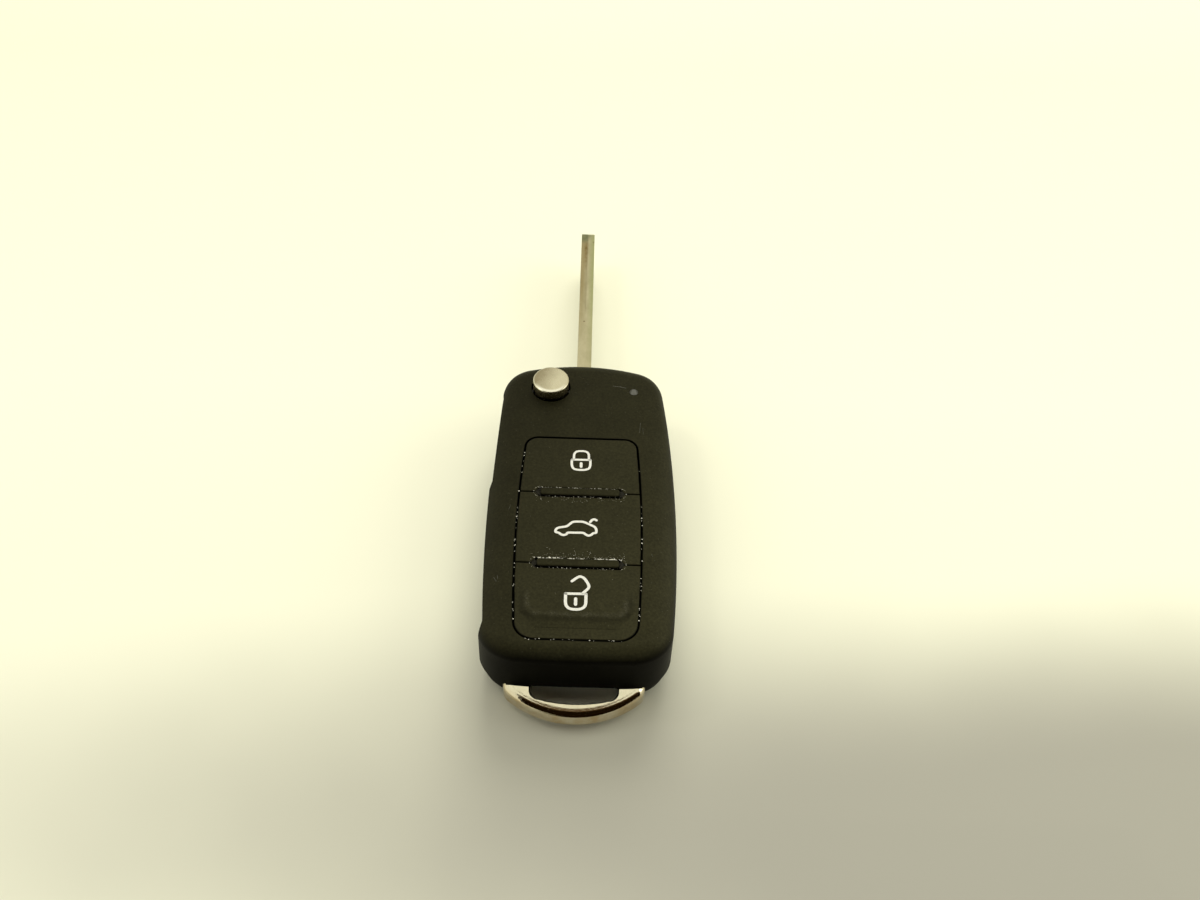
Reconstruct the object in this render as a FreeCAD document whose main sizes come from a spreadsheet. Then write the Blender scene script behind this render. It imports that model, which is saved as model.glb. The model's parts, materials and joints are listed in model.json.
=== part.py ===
"""Three-button flip key fob: moulded shell, folding blade, keypad, electronics and key-ring loop.

Millimetres. +X is to the right of the front face, +Y along the opened blade, +Z out of the front face.
The origin lies on the back face, in the middle of the body's length and width. The fob lies on its
back with its blade open.
"""
import FreeCAD, Part
import math
import os
import Sketcher

Vector = FreeCAD.Vector

SIZES = {
    # Working allowances of the model: fused features overlap, and cutters run past a face
    "overlap": 0.1,
    "past": 1.0,
    # Body outline: four bowed edges with rounded corners
    "body_length": 67.5,
    "body_width": 34.7,
    "top_end_width": 29.5,
    "bottom_end_width": 31.6,
    "top_bow": 2.9,
    "bottom_bow": 0.8,
    "top_corner_radius": 6.5,
    "bottom_corner_radius": 7.0,
    # Body section: flat front, rounded shoulders, parting line, rounded back
    "body_thickness": 15.0,
    "shoulder_inset": 6.05,
    "shoulder_radius": 7.0,
    "front_edge_radius": 2.6,
    "parting_height": 4.8,
    "parting_step": 0.4,
    "rear_edge_radius": 3.4,
    "floor_thickness": 1.5,
    # The left side is set back along the folded blade, with a small step for the thumb
    "side_foot_up": 4.9,
    "side_foot": 16.35,
    "side_low_up": 7.4,
    "side_low": 15.6,
    "side_bow_up": 22.4,
    "side_bow": 16.33,
    "side_step_up": 36.35,
    "side_step": 16.4,
    "side_step_length": 1.6,
    "side_upper": 15.95,
    "side_upper_bow_drop": 18.9,
    "side_upper_bow": 15.6,
    "side_top": 15.1,
    # Inner bays that hold the electronics
    "pocket_wall": 1.2,
    "bay_side_wall": 3.35,
    "bay_hub_wall": 1.05,
    "bay_end_wall": 5.75,
    "bay_ceiling": 10.5,
    "side_bay_wall": 4.15,
    "side_bay_width": 6.0,
    "side_bay_ceiling": 13.0,
    "bay_wall": 1.0,
    "rear_bay_short": 2.0,
    # Keypad opening and keys
    "pad_top_drop": 20.1,
    "pad_end_margin": 3.15,
    "pad_width": 22.0,
    "pad_end_width": 20.3,
    "pad_top_corner_radius": 2.4,
    "pad_bottom_corner_radius": 3.4,
    "pad_seam": 0.3,
    "pad_ledge_height": 11.5,
    "pad_ledge_width": 2.4,
    "key_underside": 12.6,
    "key_split": 0.2,
    "key_edge_radius": 0.2,
    "key_travel": 0.4,
    "rib_length": 14.2,
    "rib_width": 1.7,
    "rib_rise": 0.35,
    "rib_edge_radius": 0.33,
    "rib_end_radius": 0.55,
    "rib_notch_taper": 0.7,
    "rib_gap": 0.2,
    "upper_rib_up": 9.1,
    "lower_rib_down": 6.6,
    "key_plateau_rise": 0.38,
    "key_plateau_start": 0.04,
    "key_plateau_width": 17.8,
    "key_plateau_end_width": 15.0,
    "key_plateau_side_bevel": 1.1,
    "key_plateau_end_bevel": 2.2,
    "key_plateau_corner": 3.2,
    "key_plateau_round": 0.9,
    "key_plateau_round_in": 0.5,
    "key_plateau_margin": 4.5,
    "key_plateau_sink": 0.02,
    # Key frame, silicone mat and switches under the keys
    "frame_thickness": 0.6,
    "frame_hole_radius": 1.5,
    "mat_thickness": 0.6,
    "mat_hole_radius": 2.6,
    "boss_radius": 1.2,
    "boss_bottom": 10.4,
    "bumper_radius": 2.2,
    "bumper_top": 10.7,
    "switch_side": 5.0,
    "switch_height": 2.2,
    "plunger_radius": 1.0,
    "plunger_height": 1.6,
    "plunger_sink": 1.0,
    "slide_clearance": 0.1,
    # Circuit board and what stands on it
    "board_bottom": 6.0,
    "board_thickness": 1.0,
    "board_clearance": 0.3,
    "led_inset": 3.55,
    "led_drop": 7.85,
    "led_side": 1.6,
    "led_height": 0.8,
    "light_pipe_radius": 0.8,
    "light_pipe_collar": 1.3,
    "light_pipe_collar_height": 1.0,
    "light_pipe_gap": 0.2,
    "chip_inset": 4.4,
    "chip_spacing": 8.0,
    "control_chip_side": 5.0,
    "radio_chip_side": 4.0,
    "chip_height": 1.1,
    "crystal_length": 5.0,
    "crystal_width": 3.2,
    "crystal_corner_radius": 1.2,
    "post_radius": 1.0,
    "post_inset": 1.3,
    "post_inset_bottom": 3.3,
    "side_part_gap": 1.0,
    "coil_length": 8.0,
    "coil_width": 3.4,
    "coil_height": 3.0,
    "transponder_length": 11.0,
    "transponder_width": 4.4,
    "transponder_height": 2.6,
    # Coin cell, its contacts and its round cover
    "cell_radius": 10.0,
    "cell_height": 3.2,
    "cell_x": 1.0,
    "cell_up": 14.5,
    "cell_rim": 1.4,
    "cell_cap_height": 0.3,
    "cell_opening_gap": 0.6,
    "contact_thickness": 0.3,
    "contact_width": 5.0,
    "contact_finger_width": 1.0,
    "cover_radius": 11.8,
    "cover_gap": 0.2,
    "cover_thickness": 0.8,
    "cover_plug_radius": 9.9,
    "cover_plug_height": 0.4,
    "coin_slot_length": 12.0,
    "coin_slot_width": 1.6,
    "coin_slot_depth": 0.5,
    "seal_width": 0.8,
    # Flip mechanism
    "pivot_x": -6.2,
    "pivot_drop": 7.3,
    "hub_radius": 5.6,
    "hub_bottom": 3.3,
    "hub_top": 10.9,
    "hub_clearance": 0.3,
    "neck_radius": 4.6,
    "neck_height": 2.1,
    "foot_radius": 4.9,
    "foot_height": 1.5,
    "running_clearance": 0.05,
    "arm_inner": 3.0,
    "arm_outer": 9.2,
    "arm_back": 3.0,
    "arm_reach": 7.2,
    "arm_corner_radius": 1.0,
    "sweep_radius": 12.2,
    "spring_bore_radius": 4.2,
    "spring_bore_top": 6.5,
    "button_radius": 3.4,
    "button_gap": 0.35,
    "button_rise": 2.4,
    "button_dome": 0.25,
    "button_edge_radius": 0.25,
    "button_bottom": 9.9,
    "button_travel": 1.6,
    "button_stop_gap": 0.2,
    "stem_radius": 1.5,
    "stem_bottom": 4.2,
    "lock_plate_length": 10.0,
    "lock_plate_width": 4.0,
    "lock_plate_thickness": 0.6,
    "spring_wire_width": 0.8,
    "spring_wire_height": 0.7,
    "spring_mean_radius": 3.3,
    "spring_pitch": 1.3,
    "spring_turns": 2.5,
    "plug_radius": 4.0,
    "plug_height": 0.6,
    # Blade and its pocket
    "blade_offset": 6.2,
    "blade_thickness": 2.8,
    "blade_height": 6.8,
    "blade_middle": 7.1,
    "blade_root": 1.4,
    "blade_reach": 53.1,
    "blade_tip_taper": 2.2,
    "blade_tip_flat": 3.6,
    "blade_tip_radius": 0.8,
    "blade_slot_clearance": 0.05,
    "blade_ledge_length": 27.0,
    "blade_ledge_depth": 0.9,
    "track_width": 2.0,
    "track_depth": 0.6,
    "track_step": 3.6,
    "track_rise": 0.7,
    "blade_pin_radius": 0.8,
    "blade_pin_up": 3.4,
    "blade_pin_inner": 3.4,
    "blade_side_gap": 0.6,
    "pocket_end_gap": 0.5,
    "pocket_floor": 3.3,
    "pocket_roof": 10.9,
    "lip_inner": 14.2,
    "lip_outer": 17.2,
    "lip_height": 12.7,
    # Key-ring loop
    "loop_bottom": 1.0,
    "loop_reach": 4.9,
    "loop_wing_drop": 1.35,
    "loop_bow": 4.96,
    "loop_corner_radius": 2.5,
    "loop_bar_width": 2.35,
    "loop_rise": 0.3,
    "loop_fall": 0.5,
    "loop_top_radius": 1.5,
    "loop_bottom_radius": 1.0,
    "loop_eye_radius": 0.35,
    "eye_half_width": 7.3,
    "eye_corner_radius": 1.6,
    "eye_bow": 0.7,
    "eye_scoop": 3.4,
    "eye_scoop_rise": 0.4,
    "scoop_corner_radius": 0.8,
    "tab_outer": 12.0,
    "tab_depth": 5.2,
    "loop_pin_radius": 0.8,
    "loop_pin_inset": 3.0,
    "loop_pin_top": 9.2,
    "fit_clearance": 0.05,
}

# Angles of the shoulder's arc above level, at its outer end and on its way up
SHOULDER_END = math.radians(15)
SHOULDER_WAY = math.radians(55)

# The winding track's level along the blade, in rises above its middle line, from the tip towards the root
TRACK_STEPS = (0, 1, 1, -1, 0, -1, 1, 0)

doc = FreeCAD.newDocument("FlipKeyFob")
nodes = []


class Size:
    """A dimension with its number and its formula in the sheet, so that plain arithmetic stays bound to it."""

    def __init__(self, number, formula):
        self.number = number
        self.formula = formula

    def __add__(self, other):
        return combine(self, "+", other, lambda a, b: a + b)

    def __radd__(self, other):
        return combine(other, "+", self, lambda a, b: a + b)

    def __sub__(self, other):
        return combine(self, "-", other, lambda a, b: a - b)

    def __rsub__(self, other):
        return combine(other, "-", self, lambda a, b: a - b)

    def __mul__(self, other):
        return combine(self, "*", other, lambda a, b: a * b)

    def __rmul__(self, other):
        return combine(other, "*", self, lambda a, b: a * b)

    def __truediv__(self, other):
        return combine(self, "/", other, lambda a, b: a / b)

    def __neg__(self):
        return Size(-self.number, "(0 - %s)" % self.formula)


def as_size(value):
    return value if isinstance(value, Size) else Size(float(value), repr(float(value)))


def combine(left, sign, right, operation):
    left, right = as_size(left), as_size(right)
    return Size(operation(left.number, right.number), "(%s %s %s)" % (left.formula, sign, right.formula))


def make_sheet():
    """Writes the driving dimensions as plain numbers with an alias each."""
    sheet = doc.addObject("Spreadsheet::Sheet", "Sizes")
    for row, (name, number) in enumerate(SIZES.items(), start=1):
        sheet.set("A%d" % row, name)
        sheet.set("B%d" % row, str(number))
        sheet.setAlias("B%d" % row, name)
    doc.recompute()
    return {name: Size(float(sheet.get(name)), "Sizes.%s" % name) for name in SIZES}


S = make_sheet()


def bind(thing, **formulas):
    """Binds properties to formulas. A double underscore stands for the dot of a nested property."""
    for name, size in formulas.items():
        thing.setExpression(name.replace("__", "."), as_size(size).formula)


def keep(thing, name):
    """Marks an object as a sub-part of the fob."""
    thing.Label = name
    nodes.append(thing)
    return thing


# Sketches and features of a body

def new_body(name):
    return doc.addObject("PartDesign::Body", name)


def new_sketch(body, plane, height):
    sketch = body.newObject("Sketcher::SketchObject", body.Name + "_sketch")
    support = [item for item in body.Origin.OriginFeatures if item.Role == plane]
    sketch.AttachmentSupport = [(support[0], "")]
    sketch.MapMode = "FlatFace"
    bind(sketch, AttachmentOffset__Base__z=height)
    return sketch


def hold_point(sketch, geometry, end, x, y):
    """Dimensions a point from the sketch's origin."""
    for kind, size in (("DistanceX", as_size(x)), ("DistanceY", as_size(y))):
        number = sketch.addConstraint(Sketcher.Constraint(kind, -1, 1, geometry, end, size.number))
        sketch.setExpression("Constraints[%d]" % number, size.formula)


def draw_loop(sketch, corners):
    """Draws a closed loop. A corner is (x, y), or (x, y, via_x, via_y) when an arc through via leads to it."""
    count = len(corners)
    first = sketch.GeometryCount
    ends = []
    for index, corner in enumerate(corners):
        start = Vector(*[as_size(v).number for v in corners[index - 1][:2]], 0)
        stop = Vector(*[as_size(v).number for v in corner[:2]], 0)
        if len(corner) == 2:
            sketch.addGeometry(Part.LineSegment(start, stop), False)
        else:
            via = Vector(*[as_size(v).number for v in corner[2:]], 0)
            sketch.addGeometry(Part.Arc(start, via, stop), False)
        begins_here = (sketch.getPoint(first + index, 1) - start).Length < 1e-6
        ends.append((1, 2) if begins_here else (2, 1))
    for index, corner in enumerate(corners):
        after = (index + 1) % count
        joint = Sketcher.Constraint("Coincident", first + index, ends[index][1], first + after, ends[after][0])
        sketch.addConstraint(joint)
        hold_point(sketch, first + index, ends[index][1], corner[0], corner[1])
    for index, corner in enumerate(corners):
        if len(corner) == 4:
            via = Part.Point(Vector(as_size(corner[2]).number, as_size(corner[3]).number, 0))
            point = sketch.addGeometry(via, True)
            sketch.addConstraint(Sketcher.Constraint("PointOnObject", point, 1, first + index))
            hold_point(sketch, point, 1, corner[2], corner[3])


def draw_circle(sketch, x, y, radius):
    centre = Vector(as_size(x).number, as_size(y).number, 0)
    circle = Part.Circle(centre, Vector(0, 0, 1), as_size(radius).number)
    geometry = sketch.addGeometry(circle, False)
    hold_point(sketch, geometry, 3, x, y)
    number = sketch.addConstraint(Sketcher.Constraint("Radius", geometry, as_size(radius).number))
    sketch.setExpression("Constraints[%d]" % number, as_size(radius).formula)


def rectangle(x0, x1, y0, y1):
    return [(x0, y0), (x1, y0), (x1, y1), (x0, y1)]


def add_slab(body, loops, low, high):
    """Pads loops or circles, drawn at one height, up to another height."""
    sketch = draw_all(new_sketch(body, "XY_Plane", low), loops)
    pad = body.newObject("PartDesign::Pad", body.Name + "_pad")
    pad.Profile = sketch
    bind(pad, Length=as_size(high) - low)
    return pad


def cut_slab(body, loops, low, high):
    """Cuts loops or circles out of the body between two heights."""
    sketch = draw_all(new_sketch(body, "XY_Plane", low), loops)
    pocket = body.newObject("PartDesign::Pocket", body.Name + "_pocket")
    pocket.Profile = sketch
    pocket.Reversed = True
    bind(pocket, Length=as_size(high) - low)
    return pocket


def draw_all(sketch, loops):
    for loop in loops:
        if loop[0] == "circle":
            draw_circle(sketch, *loop[1:])
        else:
            draw_loop(sketch, loop)
    return sketch


def cut_along_y(body, loops, start, stop):
    """Cuts loops, given in X and Z, out of the body from one Y to a larger Y."""
    sketch = draw_all(new_sketch(body, "XZ_Plane", -as_size(start)), loops)
    pocket = body.newObject("PartDesign::Pocket", body.Name + "_channel")
    pocket.Profile = sketch
    bind(pocket, Length=as_size(stop) - start)
    return pocket


def round_edges(body, radius, chosen):
    """Fillets the edges of the body's present shape that the test picks."""
    doc.recompute()
    base = body.Tip
    names = ["Edge%d" % (i + 1) for i, edge in enumerate(base.Shape.Edges) if chosen(edge)]
    fillet = body.newObject("PartDesign::Fillet", body.Name + "_fillet")
    fillet.Base = (base, names)
    bind(fillet, Radius=radius)
    return fillet


def is_upright(edge):
    box = edge.BoundBox
    return box.ZLength > 0.1 and box.XLength < 1e-4 and box.YLength < 1e-4


def is_level(edge, height):
    box = edge.BoundBox
    return abs(box.ZMin - height) < 1e-4 and abs(box.ZMax - height) < 1e-4


def add_along_x(body, loops, start, stop):
    """Pads loops, given in Y and Z, from one X to a larger X."""
    sketch = draw_all(new_sketch(body, "YZ_Plane", start), loops)
    pad = body.newObject("PartDesign::Pad", body.Name + "_pad")
    pad.Profile = sketch
    bind(pad, Length=as_size(stop) - start)
    return pad


def cut_along_x(body, loops, start, stop):
    """Cuts loops, given in Y and Z, out of the body from one X to a larger X."""
    sketch = draw_all(new_sketch(body, "YZ_Plane", stop), loops)
    pocket = body.newObject("PartDesign::Pocket", body.Name + "_channel")
    pocket.Profile = sketch
    bind(pocket, Length=as_size(stop) - start)
    return pocket


# Simple solids and booleans

def block(name, x0, x1, y0, y1, z0, z1):
    solid = doc.addObject("Part::Box", name)
    bind(solid, Length=as_size(x1) - x0, Width=as_size(y1) - y0, Height=as_size(z1) - z0)
    bind(solid, Placement__Base__x=x0, Placement__Base__y=y0, Placement__Base__z=z0)
    return solid


def rod(name, x, y, z0, z1, radius):
    solid = doc.addObject("Part::Cylinder", name)
    bind(solid, Radius=radius, Height=as_size(z1) - z0)
    bind(solid, Placement__Base__x=x, Placement__Base__y=y, Placement__Base__z=z0)
    return solid


def fuse(name, solids):
    result = doc.addObject("Part::MultiFuse", name)
    result.Shapes = solids
    return result


def cut(name, base, tool):
    result = doc.addObject("Part::Cut", name)
    result.Base = base
    result.Tool = tool
    return result


# Places worked out from the sizes

half_length = S["body_length"] / 2
half_width = S["body_width"] / 2
pad_top_y = half_length - S["pad_top_drop"]
pad_bottom_y = S["pad_end_margin"] - half_length
pad_middle_y = (pad_top_y + pad_bottom_y) / 2
upper_rib_y = pad_middle_y + S["upper_rib_up"]
lower_rib_y = pad_middle_y - S["lower_rib_down"]
key_middles = {
    "lock": (upper_rib_y + pad_top_y) / 2,
    "trunk": (upper_rib_y + lower_rib_y) / 2,
    "unlock": (lower_rib_y + pad_bottom_y) / 2,
}
pivot_x = S["pivot_x"]
pivot_y = half_length - S["pivot_drop"]
board_top = S["board_bottom"] + S["board_thickness"]
loop_wing_y = S["loop_wing_drop"] - half_length
scoop_y = S["eye_scoop"] - half_length
loop_outer_y = -half_length - S["loop_reach"]
eye_bottom_y = loop_outer_y + S["loop_bar_width"]
loop_pin_x = (S["eye_half_width"] + S["tab_outer"]) / 2
loop_pin_y = S["loop_pin_inset"] - half_length
blade_left = pivot_x + S["blade_offset"] - S["blade_thickness"] / 2
blade_right = pivot_x + S["blade_offset"] + S["blade_thickness"] / 2
blade_low = S["blade_middle"] - S["blade_height"] / 2
blade_high = S["blade_middle"] + S["blade_height"] / 2
blade_tip_y = pivot_y + S["blade_reach"]
pocket_inner_x = pivot_x - S["blade_offset"] + S["blade_thickness"] / 2 + S["blade_side_gap"]
pocket_end_y = pivot_y - S["blade_reach"] - S["pocket_end_gap"]
bay_left_x = pocket_inner_x + S["pocket_wall"]
bay_right_x = half_width - S["bay_side_wall"]
bay_top_y = pivot_y - S["sweep_radius"] - S["bay_hub_wall"]
bay_bottom_y = S["bay_end_wall"] - half_length
cell_x = S["cell_x"]
cell_y = bay_bottom_y + S["cell_up"]
cell_bottom = S["cover_thickness"] + S["cover_plug_height"]
side_bay_right_x = half_width - S["side_bay_wall"]
side_bay_left_x = side_bay_right_x - S["side_bay_width"]
side_bay_top_y = half_length - S["bay_end_wall"]
led_x = side_bay_right_x - S["led_inset"]
led_y = half_length - S["led_drop"]
beyond = S["body_width"]
past = S["past"]
overlap = S["overlap"]
web_top = S["button_bottom"] - S["lock_plate_thickness"] - S["button_travel"] - S["button_stop_gap"]


def body_outline(inset):
    """The body's closed outline of four bowed edges, moved inwards by an inset."""
    inset = as_size(inset)
    top_x = S["top_end_width"] / 2 - inset
    bottom_x = S["bottom_end_width"] / 2 - inset
    side_x = half_width - inset
    end_y = half_length - inset
    top_y = end_y - S["top_bow"]
    bottom_y = S["bottom_bow"] - end_y
    return [
        (bottom_x, bottom_y, 0, -end_y),
        (top_x, top_y, side_x, 0),
        (-top_x, top_y, 0, end_y),
        (-bottom_x, bottom_y, -side_x, 0),
    ]


def set_back_side():
    """The plan of what is cut off the left side, so that the folded blade can be reached there."""
    foot_y = S["side_foot_up"] - half_length
    low_y = S["side_low_up"] - half_length
    step_y = S["side_step_up"] - half_length
    return [
        (-beyond, foot_y),
        (-S["side_foot"], foot_y),
        (-S["side_low"], low_y),
        (-S["side_step"], step_y, -S["side_bow"], S["side_bow_up"] - half_length),
        (-S["side_upper"], step_y + S["side_step_length"]),
        (-S["side_top"], pivot_y, -S["side_upper_bow"], half_length - S["side_upper_bow_drop"]),
        (-beyond, pivot_y),
    ]


def pad_outline(margin):
    """The keypad's barrel outline, larger than the keypad by a margin all round. Its ends are straight."""
    half_end = S["pad_end_width"] / 2 + margin
    half_wide = S["pad_width"] / 2 + margin
    top = pad_top_y + margin
    bottom = pad_bottom_y - margin
    return [
        (half_end, bottom),
        (half_end, top, half_wide, pad_middle_y),
        (-half_end, top),
        (-half_end, bottom, -half_wide, pad_middle_y),
    ]


def round_pad_corners(body, margin):
    """Rounds the four upright corners of a solid or an opening with the keypad's outline."""
    half_end = (S["pad_end_width"] / 2 + margin).number

    def at_corner(edge, y):
        place = edge.CenterOfMass
        return is_upright(edge) and abs(abs(place.x) - half_end) < 1e-3 and abs(place.y - y.number) < 1e-3

    round_edges(body, S["pad_top_corner_radius"] + margin, lambda edge: at_corner(edge, pad_top_y + margin))
    round_edges(body, S["pad_bottom_corner_radius"] + margin,
                lambda edge: at_corner(edge, pad_bottom_y - margin))


def round_body_corners(body):
    round_edges(body, S["top_corner_radius"], lambda edge: is_upright(edge) and edge.CenterOfMass.y > 0)
    round_edges(body, S["bottom_corner_radius"], lambda edge: is_upright(edge) and edge.CenterOfMass.y < 0)


def blade_channel(low_z):
    """The section, in X and Z, of the open channel down the left side that takes the folded blade."""
    roof = S["pocket_roof"]
    return [
        (-beyond, low_z),
        (pocket_inner_x, low_z),
        (pocket_inner_x, roof),
        (-S["lip_inner"], roof),
        (-S["lip_outer"], S["lip_height"]),
        (-beyond, S["lip_height"]),
    ]


def make_front_cover():
    """The upper shell: a moulding with shoulders, a keypad recess, the hub's cavity and the blade's channel."""
    body = new_body("FrontCover")
    low, front = S["parting_height"], S["body_thickness"]
    add_slab(body, [body_outline(0)], low, front)
    round_body_corners(body)
    seat = S["pad_seam"] / 2
    above = front + past
    cut_slab(body, [pad_outline(seat)], S["pad_ledge_height"], above)
    round_pad_corners(body, seat)
    shoulder_x = half_width - S["shoulder_inset"]
    centre_z = front - S["shoulder_radius"]
    reach_x = shoulder_x + S["shoulder_radius"] * math.cos(SHOULDER_END)
    reach_z = centre_z + S["shoulder_radius"] * math.sin(SHOULDER_END)
    via_x = shoulder_x + S["shoulder_radius"] * math.cos(SHOULDER_WAY)
    via_z = centre_z + S["shoulder_radius"] * math.sin(SHOULDER_WAY)
    shoulders = []
    for side in (1, -1):
        shoulders.append([
            (side * beyond, above),
            (side * shoulder_x, above),
            (side * shoulder_x, front),
            (side * reach_x, reach_z, side * via_x, via_z),
            (side * beyond, reach_z),
        ])
    cut_along_y(body, shoulders, -half_length - past, half_length + past)

    recess_x = (S["pad_width"] / 2 + S["pad_seam"]).number
    recess_low_y, recess_high_y = (pad_bottom_y - S["pad_seam"]).number, (pad_top_y + S["pad_seam"]).number

    def is_front_rim(edge):
        place = edge.CenterOfMass
        if abs(place.x) < recess_x and recess_low_y < place.y < recess_high_y:
            return False
        faces = body.Tip.Shape.ancestorsOfType(edge, Part.Face)
        upright = [abs(face.normalAt(*middle_of(face)).z) < 1e-4 for face in faces]
        return edge.BoundBox.ZMin > (low + past).number and sum(upright) == 1

    round_edges(body, S["front_edge_radius"], is_front_rim)
    ledge = S["pad_ledge_width"]
    window = rectangle(-S["pad_end_width"] / 2 + ledge, S["pad_end_width"] / 2 - ledge, pad_bottom_y + ledge,
                       pad_top_y - ledge)
    cut_slab(body, [window], low, S["pad_ledge_height"] + overlap)
    cut_slab(body, [rectangle(bay_left_x, bay_right_x, bay_bottom_y, bay_top_y)], low, S["bay_ceiling"])
    side_bay = rectangle(side_bay_left_x, side_bay_right_x, bay_top_y - past, side_bay_top_y)
    cut_slab(body, [side_bay], low, S["side_bay_ceiling"])
    neck = S["neck_radius"] + S["running_clearance"]
    cavity_top = S["hub_top"] + S["hub_clearance"]
    cut_slab(body, [("circle", pivot_x, pivot_y, S["sweep_radius"])], low, cavity_top)
    cut_slab(body, [("circle", pivot_x, pivot_y, neck)], low,
             S["hub_top"] + S["neck_height"] + S["hub_clearance"])
    cut_slab(body, [("circle", pivot_x, pivot_y, S["button_radius"] + S["button_gap"])], low, above)
    cut_along_y(body, [blade_channel(low - past)], pocket_end_y, pivot_y)
    cut_slab(body, [set_back_side()], low - past, above)
    pipe = S["light_pipe_radius"] + S["fit_clearance"]
    cut_slab(body, [("circle", led_x, led_y, pipe)], low, above)
    loop_roof = low + S["loop_rise"] + S["fit_clearance"]
    over_eye = scoop_arch(S["eye_half_width"], loop_roof + S["eye_scoop_rise"])
    cut_along_y(body, [over_eye], -beyond * 2, scoop_y)
    over_wings = scoop_arch(S["tab_outer"] + S["fit_clearance"], loop_roof)
    cut_along_y(body, [over_wings], -beyond * 2, loop_wing_y + S["fit_clearance"])
    for side in (-1, 1):
        pin = ("circle", side * loop_pin_x, loop_pin_y, S["loop_pin_radius"] + S["fit_clearance"])
        cut_slab(body, [pin], low, S["loop_pin_top"])
    return keep(body, "front_cover")


def scoop_arch(half_wide, roof):
    """The section, in X and Z, of a notch in the lower edge: flat on top with two round corners."""
    corner = S["scoop_corner_radius"]
    low = S["parting_height"] - past
    via = corner * (1 - math.sqrt(0.5))
    return [
        (half_wide, low),
        (half_wide, roof - corner),
        (half_wide - corner, roof, half_wide - via, roof - via),
        (corner - half_wide, roof),
        (-half_wide, roof - corner, via - half_wide, roof - via),
        (-half_wide, low),
    ]


def middle_of(face):
    u0, u1, v0, v1 = face.ParameterRange
    return (u0 + u1) / 2, (v0 + v1) / 2


def make_rear_housing():
    """The lower shell: shallow tray with the coin cell's opening, the hub's bearing and the loop's seats."""
    body = new_body("RearHousing")
    top = S["parting_height"]
    add_slab(body, [body_outline(S["parting_step"])], 0, top)
    round_body_corners(body)
    round_edges(body, S["rear_edge_radius"], lambda edge: is_level(edge, 0))
    recess = S["cover_radius"] + S["cover_gap"]
    opening = S["cell_radius"] + S["cell_opening_gap"]
    recess_top = S["cover_thickness"] + S["running_clearance"] + S["cover_gap"]
    floor = S["floor_thickness"]
    cut_slab(body, [("circle", cell_x, cell_y, recess)], -past, recess_top)
    cut_slab(body, [("circle", cell_x, cell_y, opening)], 0, floor + overlap)
    bay = rectangle(bay_left_x, bay_right_x, bay_bottom_y + S["rear_bay_short"], bay_top_y)
    cut_slab(body, [bay], floor, top)
    side_bay = rectangle(side_bay_left_x, side_bay_right_x, bay_top_y + S["bay_wall"], side_bay_top_y)
    cut_slab(body, [side_bay], floor, top)
    cut_slab(body, [("circle", pivot_x, pivot_y, S["sweep_radius"])], S["hub_bottom"] - S["hub_clearance"], top)
    foot = S["foot_radius"] + S["running_clearance"]
    cut_slab(body, [("circle", pivot_x, pivot_y, foot)], floor, top)
    cut_along_y(body, [blade_channel(S["pocket_floor"])], pocket_end_y, pivot_y)
    cut_slab(body, [set_back_side()], -past, top + past)
    cut_slab(body, [rectangle(-S["eye_half_width"], S["eye_half_width"], -beyond * 2, scoop_y)], -past,
             top)
    gap = S["fit_clearance"]
    for side in (-1, 1):
        inner, outer = side * (S["eye_half_width"] - gap), side * (S["tab_outer"] + gap)
        seat = rectangle(inner, outer, loop_outer_y, S["tab_depth"] - half_length + gap)
        cut_slab(body, [seat], S["loop_bottom"], top)
    for post_x in (bay_left_x + S["post_inset"], bay_right_x - S["post_inset"]):
        for post_y in (bay_bottom_y + S["post_inset_bottom"], bay_top_y - S["post_inset"]):
            add_slab(body, [("circle", post_x, post_y, S["post_radius"])], floor - overlap,
                     S["board_bottom"])
    return keep(body, "rear_housing")


def make_key_frame():
    """The plate under the keys, with the two raised bars that show between them."""
    body = new_body("KeyFrame")
    low = S["pad_ledge_height"]
    margin = S["pad_seam"] / 2 - S["fit_clearance"]
    high = low + S["frame_thickness"]
    add_slab(body, [pad_outline(margin)], low, high)
    round_pad_corners(body, margin)
    half_rib = S["rib_length"] / 2
    for rib_y in (upper_rib_y, lower_rib_y):
        bar = rectangle(-half_rib, half_rib, rib_y - S["rib_width"] / 2, rib_y + S["rib_width"] / 2)
        add_slab(body, [bar], high - overlap, S["body_thickness"] + S["rib_rise"])
    end_x = half_rib.number

    def is_bar_corner(edge):
        return is_upright(edge) and abs(abs(edge.CenterOfMass.x) - end_x) < 1e-3

    round_edges(body, S["rib_end_radius"], is_bar_corner)
    rib_top = (S["body_thickness"] + S["rib_rise"]).number
    round_edges(body, S["rib_edge_radius"], lambda edge: is_level(edge, rib_top))
    for middle_y in key_middles.values():
        cut_slab(body, [("circle", 0, middle_y, S["frame_hole_radius"])], low - past, high)
    return keep(body, "key_frame")


def make_key_mat():
    """The silicone sheet under the key frame, with a hole for each bumper."""
    body = new_body("KeyMat")
    top = S["pad_ledge_height"]
    side = S["pad_ledge_width"] + S["board_clearance"]
    sheet = rectangle(-S["pad_end_width"] / 2 + side, S["pad_end_width"] / 2 - side, pad_bottom_y + side,
                      pad_top_y - side)
    add_slab(body, [sheet], top - S["mat_thickness"], top)
    for middle_y in key_middles.values():
        hole = ("circle", 0, middle_y, S["mat_hole_radius"])
        cut_slab(body, [hole], top - S["mat_thickness"] - past, top + past)
    return keep(body, "key_mat")


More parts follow.
